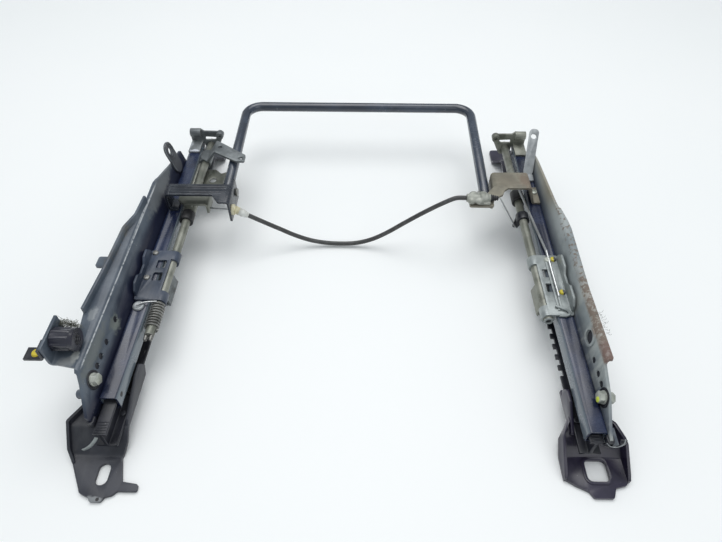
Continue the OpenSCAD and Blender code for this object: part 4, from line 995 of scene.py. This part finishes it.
# Rows of a repeated shape along a path
def row_tree():
    """Geometry nodes that set a shape along a path, each turned and scaled at random."""
    tree = bpy.data.node_groups.new("row_along_path", "GeometryNodeTree")
    inputs = {
        "Path": "Geometry", "Shape": "Object", "Count": "Int", "Turn": "Float", "Spread": "Float",
        "Seed": "Int", "Finish": "Material",
    }
    for label, kind in inputs.items():
        tree.interface.new_socket(label, in_out="INPUT", socket_type="NodeSocket" + kind)
    tree.interface.new_socket("Row", in_out="OUTPUT", socket_type="NodeSocketGeometry")

    def add(kind, links, **settings):
        node = tree.nodes.new(kind)
        for key, value in settings.items():
            setattr(node, key, value)
        for key, value in links.items():
            if isinstance(value, bpy.types.NodeSocket):
                tree.links.new(value, node.inputs[key])
            else:
                node.inputs[key].default_value = value
        return node

    def scaled(vector):
        links = {0: vector, "Scale": given["Turn"]}
        return add("ShaderNodeVectorMath", links, operation="SCALE").outputs[0]

    def around_one(operation):
        return add("ShaderNodeMath", {0: 1.0, 1: given["Spread"]}, operation=operation).outputs[0]

    given = tree.nodes.new("NodeGroupInput").outputs
    line = add("GeometryNodeMeshToCurve", {"Mesh": given["Path"]}).outputs[0]
    spots = add("GeometryNodeResampleCurve", {"Curve": line, "Count": given["Count"]}).outputs[0]
    shape = add("GeometryNodeObjectInfo", {"Object": given["Shape"]}).outputs["Geometry"]
    row = add("GeometryNodeInstanceOnPoints", {"Points": spots, "Instance": shape}).outputs[0]
    turns = {0: scaled((-1, -1, -1)), 1: scaled((1, 1, 1)), "Seed": given["Seed"]}
    turn = add("FunctionNodeRandomValue", turns, data_type="FLOAT_VECTOR").outputs[0]
    row = add("GeometryNodeRotateInstances", {"Instances": row, "Rotation": turn}).outputs[0]
    sizes = {2: around_one("SUBTRACT"), 3: around_one("ADD"), "Seed": given["Seed"]}
    size = add("FunctionNodeRandomValue", sizes, data_type="FLOAT").outputs[1]
    row = add("GeometryNodeScaleInstances", {"Instances": row, "Scale": size}).outputs[0]
    whole = add("GeometryNodeRealizeInstances", {"Geometry": row}).outputs[0]
    painted = add("GeometryNodeSetMaterial", {"Geometry": whole, "Material": given["Finish"]}).outputs[0]
    add("NodeGroupOutput", {"Row": painted})
    return tree


ROW_TREE = row_tree()


def row_of(name, shape, path, count, finish, body, turn=0.0, spread=0.0, seed=1):
    """A piece made of a shape repeated along a path of frame points."""
    line = bpy.data.meshes.new(name + "_path")
    line.from_pydata(path, [(i, i + 1) for i in range(len(path) - 1)], [])
    carrier = linked(name + "_path", line)
    pattern = linked(name + "_shape", shape)
    maker = carrier.modifiers.new("row", "NODES")
    maker.node_group = ROW_TREE
    values = {
        "Shape": pattern, "Count": count, "Turn": turn, "Spread": spread, "Seed": seed, "Finish": finish,
    }
    for socket in ROW_TREE.interface.items_tree:
        if socket.name in values:
            maker[socket.identifier] = values[socket.name]
    made = baked(name, carrier)
    bpy.data.objects.remove(pattern)
    settle(name, made, finish, body)


def ridge_shape(half_x, half_y, half_z):
    """Low rounded ridge, in millimetres."""
    mould = bmesh.new()
    stretch = Matrix.Diagonal((half_x / 1000, half_y / 1000, half_z / 1000, 1))
    bmesh.ops.create_uvsphere(mould, u_segments=12, v_segments=8, radius=1.0, matrix=stretch)
    mesh = bpy.data.meshes.new("ridge")
    mould.to_mesh(mesh)
    mould.free()
    return mesh


# Ridges on the rear ends of the lower rails
LOWER_REAR = -211.0
LOWER_HEAD_TOP = 40.0
RIDGE_HALF = (5.2, 0.75, 0.8)
RIDGE_RUN = (1.2, 11)
RIDGES = 5
for side in ("left", "right"):
    ridge_path = [place(side, 0, LOWER_REAR + ahead, LOWER_HEAD_TOP) for ahead in RIDGE_RUN]
    row_of(side + "_rail_end_ridges", ridge_shape(*RIDGE_HALF), ridge_path, RIDGES, rail_enamel,
           "floor_rails")

# Lint on the anchor lug and on the rusty flange
HAIR_LEN = 4.2
HAIR_R = 0.11
HAIR_STEPS = 6
HAIR_SIDES = 3


def hair_shape(bow):
    """A bowed fibre that starts at the origin."""
    points = []
    for i in range(HAIR_STEPS + 1):
        t = i / HAIR_STEPS
        sway = 0.4 * bow * math.sin(2 * math.pi * t)
        points.append(Vector((bow * math.sin(math.pi * t), sway, HAIR_LEN * t)) / 1000)
    return sweep("hair", points, circle(HAIR_R, HAIR_SIDES), (0.2, 1, 0))


LUG_EDGE = [place("left", -42, -136, 92), place("left", -37, -132.5, 85), place("left", -31, -131, 80)]
FLANGE_EDGE = [place("right", -19.3, -102, 73), place("right", -19.3, -126, 73)]
LUG_HAIRS, FLANGE_HAIRS = 240, 16
HAIR_SPREAD = 0.45
row_of("lug_lint", hair_shape(bow=2.0), LUG_EDGE, LUG_HAIRS, lint_fibre, "left_upper", turn=2.6,
       spread=HAIR_SPREAD, seed=3)
row_of("flange_lint", hair_shape(bow=1.4), FLANGE_EDGE, FLANGE_HAIRS, lint_fibre, "right_upper", turn=1.2,
       spread=HAIR_SPREAD, seed=5)

# Floor
FLOOR_HALF = 4
FLOOR_DROP = 0.0005
FLOOR_CORNERS = [(x * FLOOR_HALF, y * FLOOR_HALF, 0) for x, y in ((-1, -1), (1, -1), (1, 1), (-1, 1))]
floor_finish = Finish("pale_floor")
floor_cloud = floor_finish.noise(2.0, 3)
floor_finish.colour(floor_finish.mix(floor_cloud.step(0.3, 0.7), (0.925, 0.94, 0.935), (0.94, 0.95, 0.945)))
floor_finish.constant(Roughness=0.55)
floor_mesh = bpy.data.meshes.new("floor")
floor_mesh.from_pydata(FLOOR_CORNERS, [], [(0, 1, 2, 3)])
floor_mesh.materials.append(floor_finish.material)
floor = linked("floor", floor_mesh)
floor.location.z = -FLOOR_DROP

# Lights: place and size in metres, power in watts
LIGHTS = {
    "top_box": ((-0.2, 0.3, 2.0), (1.8, 1.4), 18.5),
    "back_box": ((0.1, 0.95, 1.9), (2.4, 1.0), 9.0),
    "front_fill": ((0.9, -1.3, 1.4), (1.4, 1.4), 6.0),
}
SKY_TINT = (0.89, 0.955, 1.0, 1.0)
SKY_STRENGTH = 0.47


def soft_light(name, location, size, power):
    """A soft box that faces the middle of the part."""
    data = bpy.data.lights.new(name, "AREA")
    data.shape = "RECTANGLE"
    data.size, data.size_y = size
    data.energy = power
    lamp = linked(name, data)
    lamp.location = location
    lamp.rotation_euler = (-Vector(location)).to_track_quat("-Z", "Y").to_euler()


for light, settings in LIGHTS.items():
    soft_light(light, *settings)
world = bpy.data.worlds.new("studio")
scene.world = world
world.use_nodes = True
sky = world.node_tree.nodes["Background"]
sky.inputs["Color"].default_value = SKY_TINT
sky.inputs["Strength"].default_value = SKY_STRENGTH
scene.view_settings.view_transform = "Standard"
